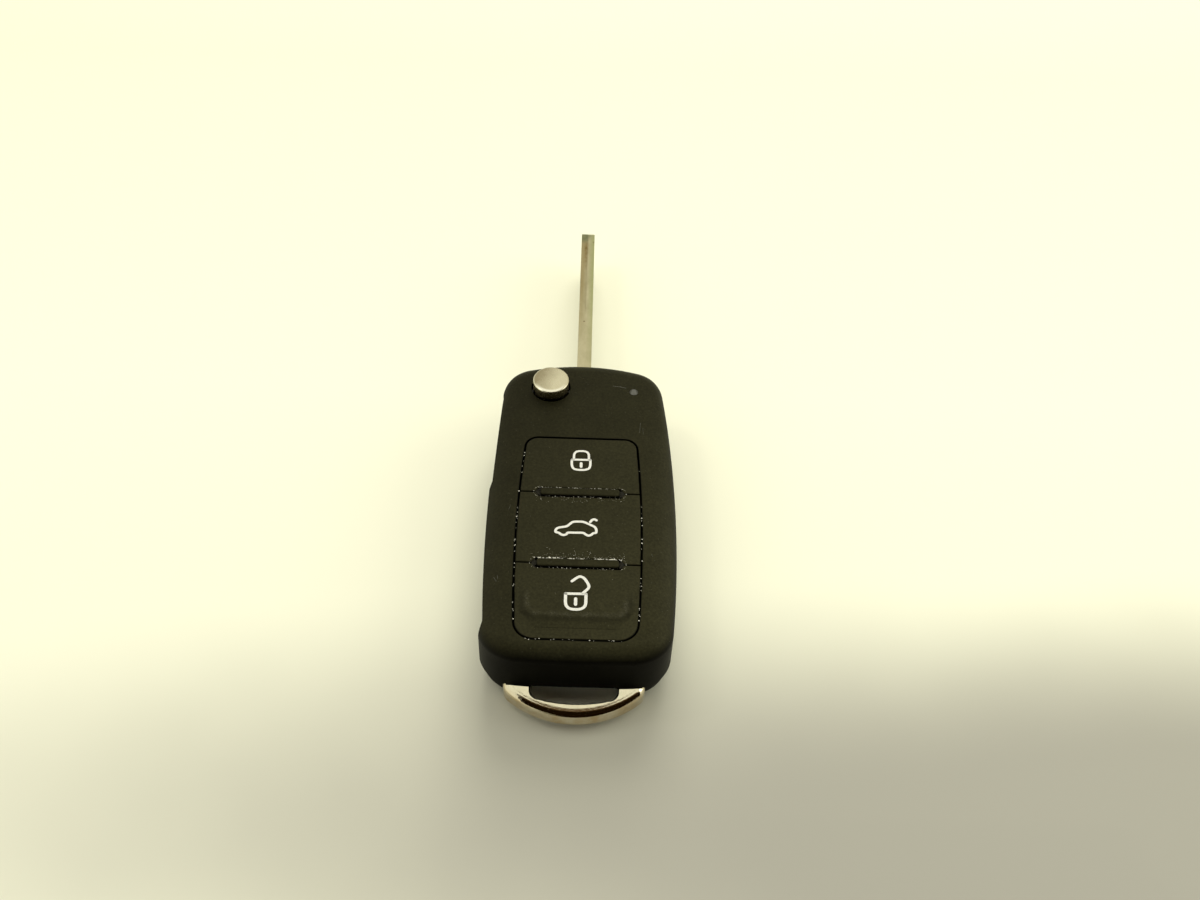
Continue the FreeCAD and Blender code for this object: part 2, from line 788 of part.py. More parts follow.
def make_key(name, low_rib, high_rib):
    """One key cap: the part of the keypad between two split lines, notched round the bars, with its boss."""
    body = new_body(name.title() + "Key")
    margin = -S["pad_seam"] / 2
    low, high = S["key_underside"], S["body_thickness"]
    add_slab(body, [pad_outline(margin)], low, high)
    round_pad_corners(body, margin)
    half_notch = S["rib_length"] / 2 + S["rib_gap"]
    notch_mouth = half_notch + S["rib_notch_taper"]
    notch = S["rib_width"] / 2 + S["rib_gap"]
    split = S["key_split"] / 2
    for rib_y, side in ((low_rib, -1), (high_rib, 1)):
        if rib_y is None:
            continue
        edge_y, notch_y = rib_y - side * split, rib_y - side * notch
        waste = [
            (-beyond, edge_y),
            (-notch_mouth, edge_y),
            (-half_notch, notch_y),
            (half_notch, notch_y),
            (notch_mouth, edge_y),
            (beyond, edge_y),
            (beyond, edge_y + side * S["body_length"]),
            (-beyond, edge_y + side * S["body_length"]),
        ]
        cut_slab(body, [waste], low - past, high + past)
    round_edges(body, S["key_edge_radius"], lambda edge: is_level(edge, high.number))
    add_slab(body, [("circle", 0, key_middles[name], S["boss_radius"])], S["boss_bottom"],
             low + overlap)
    if name == "unlock":
        add_plateau(body)
    return keep(body, name + "_key")


def add_plateau(body):
    """The raised middle of the unlock key: it climbs from the bar to its outer end and falls off in bevels."""
    front = S["body_thickness"]
    foot = front - S["key_plateau_sink"]
    low_edge = front + S["key_plateau_start"]
    crown = front + S["key_plateau_rise"]
    bevel = S["key_plateau_side_bevel"]
    half_wide, half_end = S["key_plateau_width"] / 2, S["key_plateau_end_width"] / 2
    top_y = lower_rib_y - S["rib_width"] / 2 - S["rib_gap"] * 2
    low_y = pad_bottom_y + S["key_plateau_margin"]
    climb = (crown - low_edge) / (top_y - low_y)
    corner_y = low_y + S["key_plateau_corner"]
    round_y = low_y + S["key_plateau_round"]
    steps = (
        (top_y, half_wide, low_edge),
        (corner_y, half_wide, low_edge + climb * (top_y - corner_y)),
        (round_y, half_wide - S["key_plateau_round_in"], low_edge + climb * (top_y - round_y)),
        (low_y, half_end, crown),
        (low_y - S["key_plateau_end_bevel"], half_end - bevel, low_edge),
    )
    levels = []
    for y, half_top, top in steps:
        sketch = new_sketch(body, "XZ_Plane", -y)
        half_foot = half_top + bevel
        draw_loop(sketch, [(-half_foot, foot), (half_foot, foot), (half_top, top), (-half_top, top)])
        levels.append(sketch)
    loft = body.newObject("PartDesign::AdditiveLoft", body.Name + "_plateau")
    loft.Profile = levels[0]
    loft.Sections = levels[1:]
    loft.Ruled = True
    return loft


def make_switch(name):
    """A tact switch on the board with its plunger, and the silicone bumper between the plunger and the key."""
    middle_y = key_middles[name]
    half_side = S["switch_side"] / 2
    top = board_top + S["switch_height"]
    plunger_low = top - S["plunger_sink"]
    plunger_top = plunger_low + S["plunger_height"]
    case = block(name + "_case", -half_side, half_side, middle_y - half_side, middle_y + half_side, board_top,
                 top)
    slide = S["slide_clearance"]
    well = rod(name + "_well", 0, middle_y, plunger_low - S["key_travel"] - slide, top + past,
               S["plunger_radius"] + slide)
    keep(cut(name + "_switch_solid", case, well), name + "_switch")
    keep(rod(name + "_plunger_solid", 0, middle_y, plunger_low, plunger_top, S["plunger_radius"]),
         name + "_plunger")
    rubber = rod(name + "_rubber", 0, middle_y, plunger_top, S["bumper_top"], S["bumper_radius"])
    socket = rod(name + "_socket", 0, middle_y, S["boss_bottom"], S["bumper_top"] + past,
                 S["boss_radius"])
    keep(cut(name + "_bumper_solid", rubber, socket), name + "_bumper")


def make_board():
    """The circuit board, with a tongue beside the hub's cavity that carries the lamp."""
    gap = S["board_clearance"]
    body = new_body("CircuitBoard")
    left, right = bay_left_x + gap, bay_right_x - gap
    bottom, top = bay_bottom_y + gap, bay_top_y - gap
    tongue_left, tongue_right = side_bay_left_x + gap, side_bay_right_x - gap
    tongue_top = side_bay_top_y - gap
    outline = [
        (left, bottom),
        (right, bottom),
        (right, top),
        (tongue_right, top),
        (tongue_right, tongue_top),
        (tongue_left, tongue_top),
        (tongue_left, top),
        (left, top),
    ]
    add_slab(body, [outline], S["board_bottom"], board_top)
    keep(body, "circuit_board")


def make_board_parts():
    """The chips, crystal, lamp, light pipe, coil and transponder."""
    chip_x = bay_right_x - S["chip_inset"]
    for step, name in enumerate(("control", "radio")):
        half_side = S[name + "_chip_side"] / 2
        chip_y = -step * S["chip_spacing"]
        keep(block(name + "_chip_solid", chip_x - half_side, chip_x + half_side, chip_y - half_side,
                   chip_y + half_side, board_top, board_top + S["chip_height"]), name + "_chip")
    can = new_body("CrystalCan")
    can_y = -2 * S["chip_spacing"]
    half_wide, half_long = S["crystal_width"] / 2, S["crystal_length"] / 2
    add_slab(can, [rectangle(chip_x - half_wide, chip_x + half_wide, can_y - half_long, can_y + half_long)],
             board_top, board_top + S["chip_height"])
    round_edges(can, S["crystal_corner_radius"], is_upright)
    keep(can, "crystal_can")
    half_led = S["led_side"] / 2
    led_top = board_top + S["led_height"]
    keep(block("lamp_solid", led_x - half_led, led_x + half_led, led_y - half_led, led_y + half_led, board_top,
               led_top), "indicator_lamp")
    pipe = rod("pipe_rod", led_x, led_y, led_top + S["light_pipe_gap"], S["body_thickness"],
               S["light_pipe_radius"])
    collar_low = S["side_bay_ceiling"] - S["light_pipe_collar_height"]
    collar = rod("pipe_collar", led_x, led_y, collar_low, S["side_bay_ceiling"], S["light_pipe_collar"])
    keep(fuse("light_pipe_solid", [pipe, collar]), "light_pipe")
    bay_x = (side_bay_left_x + side_bay_right_x) / 2
    half_coil = S["coil_width"] / 2
    coil_low = bay_top_y + S["side_part_gap"]
    keep(block("coil_solid", bay_x - half_coil, bay_x + half_coil, coil_low, coil_low + S["coil_length"],
               board_top, board_top + S["coil_height"]), "antenna_coil")
    half_wide = S["transponder_width"] / 2
    tag_low = coil_low + S["side_part_gap"]
    keep(block("transponder_solid", bay_x - half_wide, bay_x + half_wide, tag_low,
               tag_low + S["transponder_length"], S["floor_thickness"],
               S["floor_thickness"] + S["transponder_height"]), "transponder_chip")


def make_battery():
    """The coin cell, its two contacts under the board, the round cover and the cover's seal."""
    cell_top = cell_bottom + S["cell_height"]
    shoulder = cell_top - S["cell_cap_height"]
    can = rod("cell_can", cell_x, cell_y, cell_bottom, shoulder, S["cell_radius"])
    cap = rod("cell_cap", cell_x, cell_y, shoulder, cell_top, S["cell_radius"] - S["cell_rim"])
    keep(fuse("cell_solid", [can, cap]), "battery_cell")
    thick, half_wide = S["contact_thickness"], S["contact_width"] / 2
    half_finger = S["contact_finger_width"] / 2
    plate_low = S["board_bottom"] - thick
    plate = block("negative_plate", cell_x - half_wide, cell_x + half_wide, cell_y - half_wide,
                  cell_y + half_wide, plate_low, S["board_bottom"])
    finger = block("negative_finger", cell_x - half_finger, cell_x + half_finger, cell_y - thick / 2,
                   cell_y + thick / 2, cell_top, S["board_bottom"])
    keep(fuse("negative_contact_solid", [plate, finger]), "battery_contact_negative")
    side_x = cell_x + S["cell_radius"] + S["fit_clearance"]
    blade = block("positive_leg", side_x, side_x + thick, cell_y - half_wide, cell_y + half_wide,
                  S["floor_thickness"] + thick, S["board_bottom"])
    foot_x = bay_right_x - S["board_clearance"]
    foot = block("positive_foot", side_x, foot_x, cell_y - half_wide, cell_y + half_wide, plate_low,
                 S["board_bottom"])
    keep(fuse("positive_contact_solid", [blade, foot]), "battery_contact_positive")
    cover_top = S["cover_thickness"]
    disc = rod("cover_disc", cell_x, cell_y, 0, cover_top, S["cover_radius"])
    plug = rod("cover_plug", cell_x, cell_y, cover_top, cell_bottom, S["cover_plug_radius"])
    half_long, half_slot = S["coin_slot_length"] / 2, S["coin_slot_width"] / 2
    slot = block("coin_slot", cell_x - half_long, cell_x + half_long, cell_y - half_slot, cell_y + half_slot,
                 -past, S["coin_slot_depth"])
    keep(cut("cover_solid", fuse("cover_blank", [disc, plug]), slot), "battery_cover")
    ring_low = cover_top + S["running_clearance"]
    ring_high = ring_low + S["cover_gap"]
    outer = S["cover_radius"] - S["cover_gap"]
    ring = rod("seal_outer", cell_x, cell_y, ring_low, ring_high, outer)
    hole = rod("seal_inner", cell_x, cell_y, ring_low - past, ring_high + past, outer - S["seal_width"])
    keep(cut("seal_solid", ring, hole), "battery_seal")


def make_hub():
    """The hub that turns in the shell: barrel, foot, neck and the arm that holds the blade's root."""
    body = new_body("BladeHub")
    low, high = S["hub_bottom"], S["hub_top"]
    add_slab(body, [("circle", pivot_x, pivot_y, S["hub_radius"])], low, high)
    arm = rectangle(pivot_x + S["arm_inner"], pivot_x + S["arm_outer"], pivot_y - S["arm_back"],
                    pivot_y + S["arm_reach"])
    add_slab(body, [arm], low, high)
    arm_edge = (pivot_x + S["arm_outer"]).number
    round_edges(body, S["arm_corner_radius"],
                lambda edge: is_upright(edge) and abs(edge.BoundBox.XMax - arm_edge) < 1e-3)
    neck_top = high + S["neck_height"]
    foot_bottom = low - S["foot_height"]
    add_slab(body, [("circle", pivot_x, pivot_y, S["neck_radius"])], high - overlap, neck_top)
    add_slab(body, [("circle", pivot_x, pivot_y, S["foot_radius"])], foot_bottom, low + overlap)
    cut_slab(body, [("circle", pivot_x, pivot_y, S["spring_bore_radius"])], foot_bottom, S["spring_bore_top"])
    slide = S["slide_clearance"]
    cut_slab(body, [("circle", pivot_x, pivot_y, S["stem_radius"] + slide)], foot_bottom, neck_top)
    cut_slab(body, [("circle", pivot_x, pivot_y, S["button_radius"] + slide)], web_top, neck_top)
    half_wide = S["lock_plate_width"] / 2 + slide
    half_long = S["lock_plate_length"] / 2 + slide
    slot = rectangle(pivot_x - half_wide, pivot_x + half_wide, pivot_y - half_long, pivot_y + half_long)
    cut_slab(body, [slot], web_top, neck_top)
    gap = S["blade_slot_clearance"]
    root = rectangle(blade_left - gap, blade_right + gap, pivot_y - S["blade_root"] - gap, blade_tip_y)
    cut_slab(body, [root], blade_low - gap, blade_high + gap)
    pin = ("circle", pivot_y + S["blade_pin_up"], S["blade_middle"], S["blade_pin_radius"])
    cut_along_x(body, [pin], pivot_x + S["blade_pin_inner"], pivot_x + S["arm_outer"] + past)
    return keep(body, "blade_hub")


def make_blade():
    """The key blade: a flat bar with a tapered tip, a ledge along one edge and a winding track in each face."""
    body = new_body("KeyBlade")
    middle = S["blade_middle"]
    half_tip = S["blade_tip_flat"] / 2
    root_y = pivot_y - S["blade_root"]
    taper_y = blade_tip_y - S["blade_tip_taper"]
    side = [
        (root_y, blade_low),
        (taper_y, blade_low),
        (blade_tip_y, middle - half_tip),
        (blade_tip_y, middle + half_tip),
        (taper_y, blade_high),
        (root_y, blade_high),
    ]
    add_along_x(body, [side], blade_left, blade_right)
    end_y = blade_tip_y.number
    round_edges(body, S["blade_tip_radius"],
                lambda edge: is_upright(edge) and abs(edge.CenterOfMass.y - end_y) < 1e-3)
    ledge = rectangle(blade_left - past, (blade_left + blade_right) / 2, blade_tip_y - S["blade_ledge_length"],
                      blade_tip_y + past)
    cut_slab(body, [ledge], blade_high - S["blade_ledge_depth"], blade_high + past)
    lower, upper = [], []
    for index, step in enumerate(TRACK_STEPS):
        y = blade_tip_y + S["track_step"] / 2 - index * S["track_step"]
        z = middle + step * S["track_rise"]
        lower.append((y, z - S["track_width"] / 2))
        upper.append((y, z + S["track_width"] / 2))
    track = lower + upper[::-1]
    depth = S["track_depth"]
    cut_along_x(body, [track], blade_left - past, blade_left + depth)
    cut_along_x(body, [track], blade_right - depth, blade_right + past)
    pin = ("circle", pivot_y + S["blade_pin_up"], middle, S["blade_pin_radius"])
    cut_along_x(body, [pin], blade_left - past, blade_right + past)
    return keep(body, "key_blade")


def make_blade_pin():
    """The roll pin across the hub's arm and the blade's root."""
    body = new_body("BladePin")
    pin = ("circle", pivot_y + S["blade_pin_up"], S["blade_middle"], S["blade_pin_radius"])
    add_along_x(body, [pin], pivot_x + S["blade_pin_inner"], pivot_x + S["arm_outer"])
    return keep(body, "blade_pin")


def new_pivot_sketch(body):
    """A sketch in X and Z whose upright axis is the hub's axis."""
    sketch = new_sketch(body, "XZ_Plane", -pivot_y)
    bind(sketch, AttachmentOffset__Base__x=pivot_x)
    return sketch


def make_release_button():
    """The round button with its slightly domed top and its stem, and the lock plate under it."""
    body = new_body("ReleaseButton")
    top = S["body_thickness"] + S["button_rise"]
    radius = S["button_radius"]
    rim = top - S["button_dome"]
    sketch = new_pivot_sketch(body)
    draw_loop(sketch, [
        (0, S["stem_bottom"]),
        (S["stem_radius"], S["stem_bottom"]),
        (S["stem_radius"], S["button_bottom"]),
        (radius, S["button_bottom"]),
        (radius, rim),
        (0, top, radius / 2, top - S["button_dome"] / 4),
    ])
    turned = body.newObject("PartDesign::Revolution", "ReleaseButton_turned")
    turned.Profile = sketch
    turned.ReferenceAxis = (sketch, ["V_Axis"])
    turned.Angle = 360
    rim_height = rim.number
    round_edges(body, S["button_edge_radius"], lambda edge: is_level(edge, rim_height))
    keep(body, "release_button")
    half_wide, half_long = S["lock_plate_width"] / 2, S["lock_plate_length"] / 2
    plate_low = S["button_bottom"] - S["lock_plate_thickness"]
    bar = block("lock_bar", pivot_x - half_wide, pivot_x + half_wide, pivot_y - half_long, pivot_y + half_long,
                plate_low, S["button_bottom"])
    hole = rod("lock_bar_hole", pivot_x, pivot_y, plate_low - past, S["button_bottom"] + past,
               S["stem_radius"])
    keep(cut("lock_plate_solid", bar, hole), "lock_plate")


def make_flip_spring():
    """The coil spring in the hub's foot, and the plug that it stands on."""
    floor = S["floor_thickness"]
    plug_top = floor + S["plug_height"]
    keep(rod("plug_solid", pivot_x, pivot_y, floor, plug_top, S["plug_radius"]), "spring_plug")
    body = new_body("FlipSpring")
    sketch = new_pivot_sketch(body)
    half_wire = S["spring_wire_width"] / 2
    wire = rectangle(S["spring_mean_radius"] - half_wire, S["spring_mean_radius"] + half_wire, plug_top,
                     plug_top + S["spring_wire_height"])
    draw_loop(sketch, wire)
    coil = body.newObject("PartDesign::AdditiveHelix", "FlipSpring_coil")
    coil.Profile = sketch
    coil.ReferenceAxis = (sketch, ["V_Axis"])
    coil.Mode = "pitch-turns-angle"
    bind(coil, Pitch=S["spring_pitch"], Turns=S["spring_turns"])
    print("flip spring: least gap to itself %.2f mm" % coil_gap())
    return keep(body, "flip_spring")


def coil_gap():
    """The least distance from one turn of the flat wire to the next, measured between the section's corners."""
    middle, half_wire = S["spring_mean_radius"].number, S["spring_wire_width"].number / 2
    pitch, height = S["spring_pitch"].number, S["spring_wire_height"].number
    steps = 72
    sections = []
    for index in range(int(steps * S["spring_turns"].number) + 1):
        angle = 2 * math.pi * index / steps
        corners = []
        for radius in (middle - half_wire, middle + half_wire):
            for rise in (0, height):
                z = pitch * index / steps + rise
                corners.append(Vector(radius * math.cos(angle), radius * math.sin(angle), z))
        sections.append(corners)
    gaps = []
    for index, corners in enumerate(sections):
        for others in sections[index + steps // 2:]:
            gaps.extend((other - corner).Length for corner in corners for other in others)
    return min(gaps)


def make_loop():
    """The key-ring loop: a bowed bar round the eye, with a tab at each side that the two shells clamp."""
    body = new_body("KeyringLoop")
    low, high = S["loop_bottom"], S["parting_height"] + S["loop_rise"]
    outer_x = S["tab_outer"]
    corner_y = loop_outer_y + S["loop_bow"]
    tab_y = S["tab_depth"] - half_length
    slope = S["loop_fall"] / (loop_wing_y - loop_outer_y)
    blank_top = high + slope * (tab_y - loop_wing_y)
    bar = [
        (outer_x, tab_y),
        (outer_x, corner_y),
        (-outer_x, corner_y, 0, loop_outer_y),
        (-outer_x, tab_y),
    ]
    add_slab(body, [bar], low, blank_top)

    def is_outer_corner(edge):
        return is_upright(edge) and edge.BoundBox.YMax < (corner_y + overlap).number

    round_edges(body, S["loop_corner_radius"], is_outer_corner)
    above = [
        (tab_y, blank_top),
        (loop_outer_y, high - S["loop_fall"]),
        (loop_outer_y - past, high - S["loop_fall"]),
        (loop_outer_y - past, blank_top + past),
        (tab_y, blank_top + past),
    ]
    cut_along_x(body, [above], -beyond, beyond)

    def is_outer_rim(edge):
        faces = body.Tip.Shape.ancestorsOfType(edge, Part.Face)
        kinds = [face.Surface.TypeId for face in faces]
        return "Part::GeomCylinder" in kinds and "Part::GeomPlane" in kinds and not is_upright(edge)

    def is_top_rim(edge):
        return is_outer_rim(edge) and not is_level(edge, low.number)

    round_edges(body, S["loop_top_radius"], is_top_rim)
    round_edges(body, S["loop_bottom_radius"], lambda edge: is_outer_rim(edge) and is_level(edge, low.number))
    eye_x, corner = S["eye_half_width"], S["eye_corner_radius"]
    floor_x = eye_x - corner
    floor_y = eye_bottom_y + S["eye_bow"]
    corner_via = corner * (1 - math.sqrt(0.5))
    eye = [
        (eye_x, tab_y + past),
        (-eye_x, tab_y + past),
        (-eye_x, floor_y + corner),
        (-floor_x, floor_y, corner_via - eye_x, floor_y + corner_via),
        (floor_x, floor_y, 0, eye_bottom_y),
        (eye_x, floor_y + corner, eye_x - corner_via, floor_y + corner_via),
    ]
    cut_slab(body, [eye], low - past, blank_top + past)

    def is_eye_floor(edge):
        box = edge.BoundBox
        reach = (eye_x + overlap).number
        in_eye = box.YMin > (eye_bottom_y - overlap).number and box.XMax < reach and box.XMin > -reach
        return is_outer_rim(edge) and in_eye

    round_edges(body, S["loop_eye_radius"], is_eye_floor)
    cut_slab(body, [rectangle(-beyond, beyond, loop_wing_y, tab_y + past)], low - past, blank_top + past)
    for side in (-1, 1):
        tab = rectangle(side * eye_x, side * outer_x, loop_wing_y - overlap, tab_y)
        add_slab(body, [tab], low, S["parting_height"])
        pin = ("circle", side * loop_pin_x, loop_pin_y, S["loop_pin_radius"])
        cut_slab(body, [pin], low - past, high + past)
    keep(body, "keyring_loop")
    for side, name in ((-1, "left"), (1, "right")):
        keep(rod("loop_pin_solid_" + name, side * loop_pin_x, loop_pin_y, low, S["loop_pin_top"],
                 S["loop_pin_radius"]), "loop_pin_" + name)


make_front_cover()
make_rear_housing()
make_key_frame()
make_key_mat()
make_key("lock", upper_rib_y, None)
make_key("trunk", lower_rib_y, upper_rib_y)
make_key("unlock", None, lower_rib_y)
for key_name in key_middles:
    make_switch(key_name)
make_board()
make_board_parts()
make_battery()
make_hub()
make_blade()
make_blade_pin()
make_release_button()
make_flip_spring()
make_loop()

doc.recompute()
for item in doc.Objects:
    if "Invalid" in item.State or "Error" in item.State:
        raise RuntimeError("%s (%s) did not build: %s" % (item.Name, item.Label, item.State))
os.makedirs("parts", exist_ok=True)
for node in nodes:
    if node.Shape.isNull() or not node.Shape.isValid():
        raise RuntimeError("%s has no valid shape" % node.Label)
    node.Shape.exportStep("parts/%s.step" % node.Label)
    print("%-26s %6d faces %10.2f mm3" % (node.Label, len(node.Shape.Faces), node.Shape.Volume))
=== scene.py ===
"""Looks of the flip key fob: camera, studio, materials with painted light and shade, printed icons,
dust and light wear.

Lengths are in millimetres in the object's frame, except in the studio, where they are in metres.
"""
import bpy
import bmesh
import json
import math
import random
from mathutils import Matrix, Vector


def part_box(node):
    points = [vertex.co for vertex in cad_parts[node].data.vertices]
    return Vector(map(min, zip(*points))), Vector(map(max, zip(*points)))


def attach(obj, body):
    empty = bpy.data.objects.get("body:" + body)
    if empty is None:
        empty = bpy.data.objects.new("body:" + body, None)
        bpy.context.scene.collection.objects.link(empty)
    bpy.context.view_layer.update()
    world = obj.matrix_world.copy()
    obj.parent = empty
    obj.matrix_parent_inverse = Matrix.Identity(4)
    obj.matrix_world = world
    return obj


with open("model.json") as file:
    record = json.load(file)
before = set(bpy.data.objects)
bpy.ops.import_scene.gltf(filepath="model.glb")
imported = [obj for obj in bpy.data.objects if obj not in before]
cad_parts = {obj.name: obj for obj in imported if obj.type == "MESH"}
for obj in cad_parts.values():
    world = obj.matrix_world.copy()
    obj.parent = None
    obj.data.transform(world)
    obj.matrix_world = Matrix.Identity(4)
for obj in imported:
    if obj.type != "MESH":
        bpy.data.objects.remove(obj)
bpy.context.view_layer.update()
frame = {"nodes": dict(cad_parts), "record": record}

MM = 0.001
scene = bpy.context.scene
nodes = frame["nodes"]

# Camera
IMAGE_WIDTH = 1200  # pixels
FOCAL_LENGTH = 1350  # pixels
SENSOR_WIDTH = 36
CAMERA_PLACE = (0.18, -152.95, 201.12)
CAMERA_DIP = 48.633  # degrees below level
CAMERA_TURN = 1.127  # degrees to the right of the blade's direction
CAMERA_ROLL = -2.631  # degrees
NEAREST, FARTHEST = 0.01, 20  # metres

# Keypad. Places on it are counted from its middle.
PAD_Y = -8.475  # the keypad's middle
PAD_END = 22.12  # from there to the seam at both ends
PAD_MIDDLE = 11.0  # and to the seam at both sides, which are bowed outwards
PAD_BOW = 0.85  # how much narrower the keypad is at its ends
LOW_CORNER, HIGH_CORNER = 3.4, 2.4  # radii of the seam's corners
UPPER_BAR, LOWER_BAR = 9.1, -6.6
HALF_BAR = 7.1
BAR_GAP = 1.0  # from a bar's middle line to the gap beside it
FACE_Z = 15.0
SEAM_Z = 14.98
DIRT_Z = 14.8

# Raised middle of the unlock key: where the round of its lower corners begins, and their radii
RAISED_HALF = 6.4
RAISED_LOW = -23.9
RAISED_EDGE = 1.9
# Radius of the painted shadow at the foot of the raised middle
RAISED_FOOT = 2.7

# Thickness of what lies on a surface, and how far its foot reaches into it
PRINT = 0.02
SCRATCH = 0.004
SINK = 0.01

CURVE_PARTS = 5  # steps between two points of a soft line
CAP_PARTS = 7  # steps of a line's round end
OPEN, CLOSED = False, True
STRAIGHT, SOFT = False, True

# Colours
PLASTIC_GLOSS = (1.0, 0.93, 0.70, 1.0)
SCORED = (0.12, 0.115, 0.08)
SPECK = (0.30, 0.29, 0.22)
GRIME = (0.001, 0.001, 0.0006)
WORN = (0.11, 0.105, 0.075)

# Floor: a painted shadow, darker inside an ellipse before the object
SHADOW_MIDDLE = (150.5, -56.7)
SHADOW_REACH = (374.0, 63.4)
SHADOW_EDGE = (0.347, 0.931)  # shares of the reach between which it fades


# Camera

def make_camera():
    """Looks down on the keypad from the loop's side."""
    dip, turn, roll = (math.radians(angle) for angle in (CAMERA_DIP, CAMERA_TURN, CAMERA_ROLL))
    forward = Vector((math.sin(turn) * math.cos(dip), math.cos(turn) * math.cos(dip),
                      -math.sin(dip)))
    level = Vector((math.cos(turn), -math.sin(turn), 0))
    fall = forward.cross(level)
    right = math.cos(roll) * level + math.sin(roll) * fall
    down = math.cos(roll) * fall - math.sin(roll) * level
    data = bpy.data.cameras.new("camera")
    data.sensor_width = SENSOR_WIDTH
    data.lens = SENSOR_WIDTH * FOCAL_LENGTH / IMAGE_WIDTH
    data.clip_start, data.clip_end = NEAREST, FARTHEST
    camera = bpy.data.objects.new("camera", data)
    scene.collection.objects.link(camera)
    turn_to = Matrix((right, -down, -forward)).transposed().to_4x4()
    camera.matrix_world = Matrix.Translation(Vector(CAMERA_PLACE) * MM) @ turn_to
    scene.camera = camera


# Materials

class Shade:
    """A material, with short calls for nodes that read the piece's own place in millimetres."""

    def __init__(self, name, **values):
        self.material = bpy.data.materials.new(name)
        self.material.use_nodes = True
        self.tree = self.material.node_tree
        self.tree.nodes.clear()
        self.shader = self.node("ShaderNodeBsdfPrincipled")
        output = self.node("ShaderNodeOutputMaterial")
        self.feed(output.inputs[0], self.shader.outputs[0])
        for entry, value in values.items():
            self.shader.inputs[entry.replace("_", " ")].default_value = value
        scale = self.node("ShaderNodeVectorMath", operation="SCALE")
        scale.inputs["Scale"].default_value = 1 / MM
        self.feed(scale.inputs[0], self.node("ShaderNodeTexCoord").outputs["Object"])
        self.place = scale.outputs[0]

    @classmethod
    def of(cls, material, name):
        """Works on a copied material, adding to what its shader already has."""
        shade = cls.__new__(cls)
        material.name = name
        shade.material = material
        shade.tree = material.node_tree
        shade.shader = next(node for node in shade.tree.nodes if node.type == "BSDF_PRINCIPLED")
        scale = next(node for node in shade.tree.nodes if node.type == "VECT_MATH")
        shade.place = scale.outputs[0]
        return shade

    def node(self, kind, **settings):
        made = self.tree.nodes.new(kind)
        for name, value in settings.items():
            setattr(made, name, value)
        return made

    def feed(self, socket, value):
        """Links a socket to what feeds it, or sets it to a constant."""
        if hasattr(value, "is_output"):
            self.tree.links.new(value, socket)
        else:
            socket.default_value = value

    def put(self, name, socket):
        """Feeds that input of the shader."""
        self.feed(self.shader.inputs[name], socket)

    def socket_of(self, name):
        """What feeds that input of the shader."""
        return self.shader.inputs[name].links[0].from_socket

    # Numbers

    def math(self, operation, *values):
        made = self.node("ShaderNodeMath", operation=operation)
        for socket, value in zip(made.inputs, values):
            self.feed(socket, value)
        return made.outputs[0]

    def product(self, first, *others):
        for other in others:
            first = self.math("MULTIPLY", first, other)
        return first

    def length(self, x, y):
        return self.math("SQRT", self.math("ADD", self.product(x, x), self.product(y, y)))

    def gap(self, value, other):
        """How far two values lie apart."""
        return self.math("ABSOLUTE", self.math("SUBTRACT", value, other))

    def span(self, value, low, high, to_low=0.0, to_high=1.0):
        """Maps low..high to to_low..to_high, clamped."""
        made = self.node("ShaderNodeMapRange")
        for socket, number in zip(made.inputs, (value, low, high, to_low, to_high)):
            self.feed(socket, number)
        return made.outputs[0]

    # Places and directions

    def part(self, vector, index):
        """One of a vector's three numbers."""
        made = self.node("ShaderNodeSeparateXYZ")
        self.feed(made.inputs[0], vector)
        return made.outputs[index]

    def axis(self, index):
        return self.part(self.place, index)

    def normal(self):
        return self.node("ShaderNodeNewGeometry").outputs["Normal"]

    def facing_up(self):
        """1 where the surface faces up, 0 on walls, -1 where it faces down."""
        return self.part(self.normal(), 2)

    def from_middle(self, name):
        """Millimetres from the middle of a node's box, along x and y."""
        low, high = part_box(name)
        middle = (low + high) / 2 / MM
        return [self.math("SUBTRACT", self.axis(index), middle[index]) for index in (0, 1)]

    def from_seam(self):
        """Millimetres from the middle of the seam round the keys, in plan."""
        y = self.math("SUBTRACT", self.axis(1), PAD_Y)
        corner = self.span(y, -1.0, 1.0, LOW_CORNER, HIGH_CORNER)
        narrower = self.product(self.product(y, y), PAD_BOW / PAD_END ** 2)
        side = self.math("SUBTRACT", PAD_MIDDLE, narrower)
        over = []
        for way, limit in ((self.axis(0), side), (y, PAD_END)):
            past = self.math("SUBTRACT", self.math("ABSOLUTE", way), limit)
            over.append(self.math("ADD", past, corner))
        outside = self.length(*(self.math("MAXIMUM", way, 0.0) for way in over))
        inside = self.math("MINIMUM", self.math("MAXIMUM", *over), 0.0)
        return self.gap(self.math("ADD", outside, inside), corner)

    # Patterns

    def noise(self, size, detail=3.0, roughness=0.5, stretch=(1, 1, 1), shift=(0, 0, 0)):
        """Noise from 0 to 1 whose blobs are about that many millimetres across."""
        mapping = self.node("ShaderNodeMapping")
        mapping.inputs["Scale"].default_value = stretch
        mapping.inputs["Location"].default_value = shift
        self.feed(mapping.inputs[0], self.place)
        made = self.node("ShaderNodeTexNoise")
        made.inputs["Scale"].default_value = 1 / size
        made.inputs["Detail"].default_value = detail
        made.inputs["Roughness"].default_value = roughness
        self.feed(made.inputs["Vector"], mapping.outputs[0])
        return made.outputs["Fac"]

    def cloud(self, size, limits=(0.3, 0.7), values=(0.0, 1.0), **how):
        """Noise between two values, which it keeps outside its limits."""
        return self.span(self.noise(size, **how), *limits, *values)

    def cells(self, size, feature="F1", output="Distance"):
        """How far the nearest of scattered points lies, or another fact about it."""
        made = self.node("ShaderNodeTexVoronoi", feature=feature)
        made.inputs["Scale"].default_value = 1 / size
        self.feed(made.inputs["Vector"], self.place)
        return made.outputs[output]

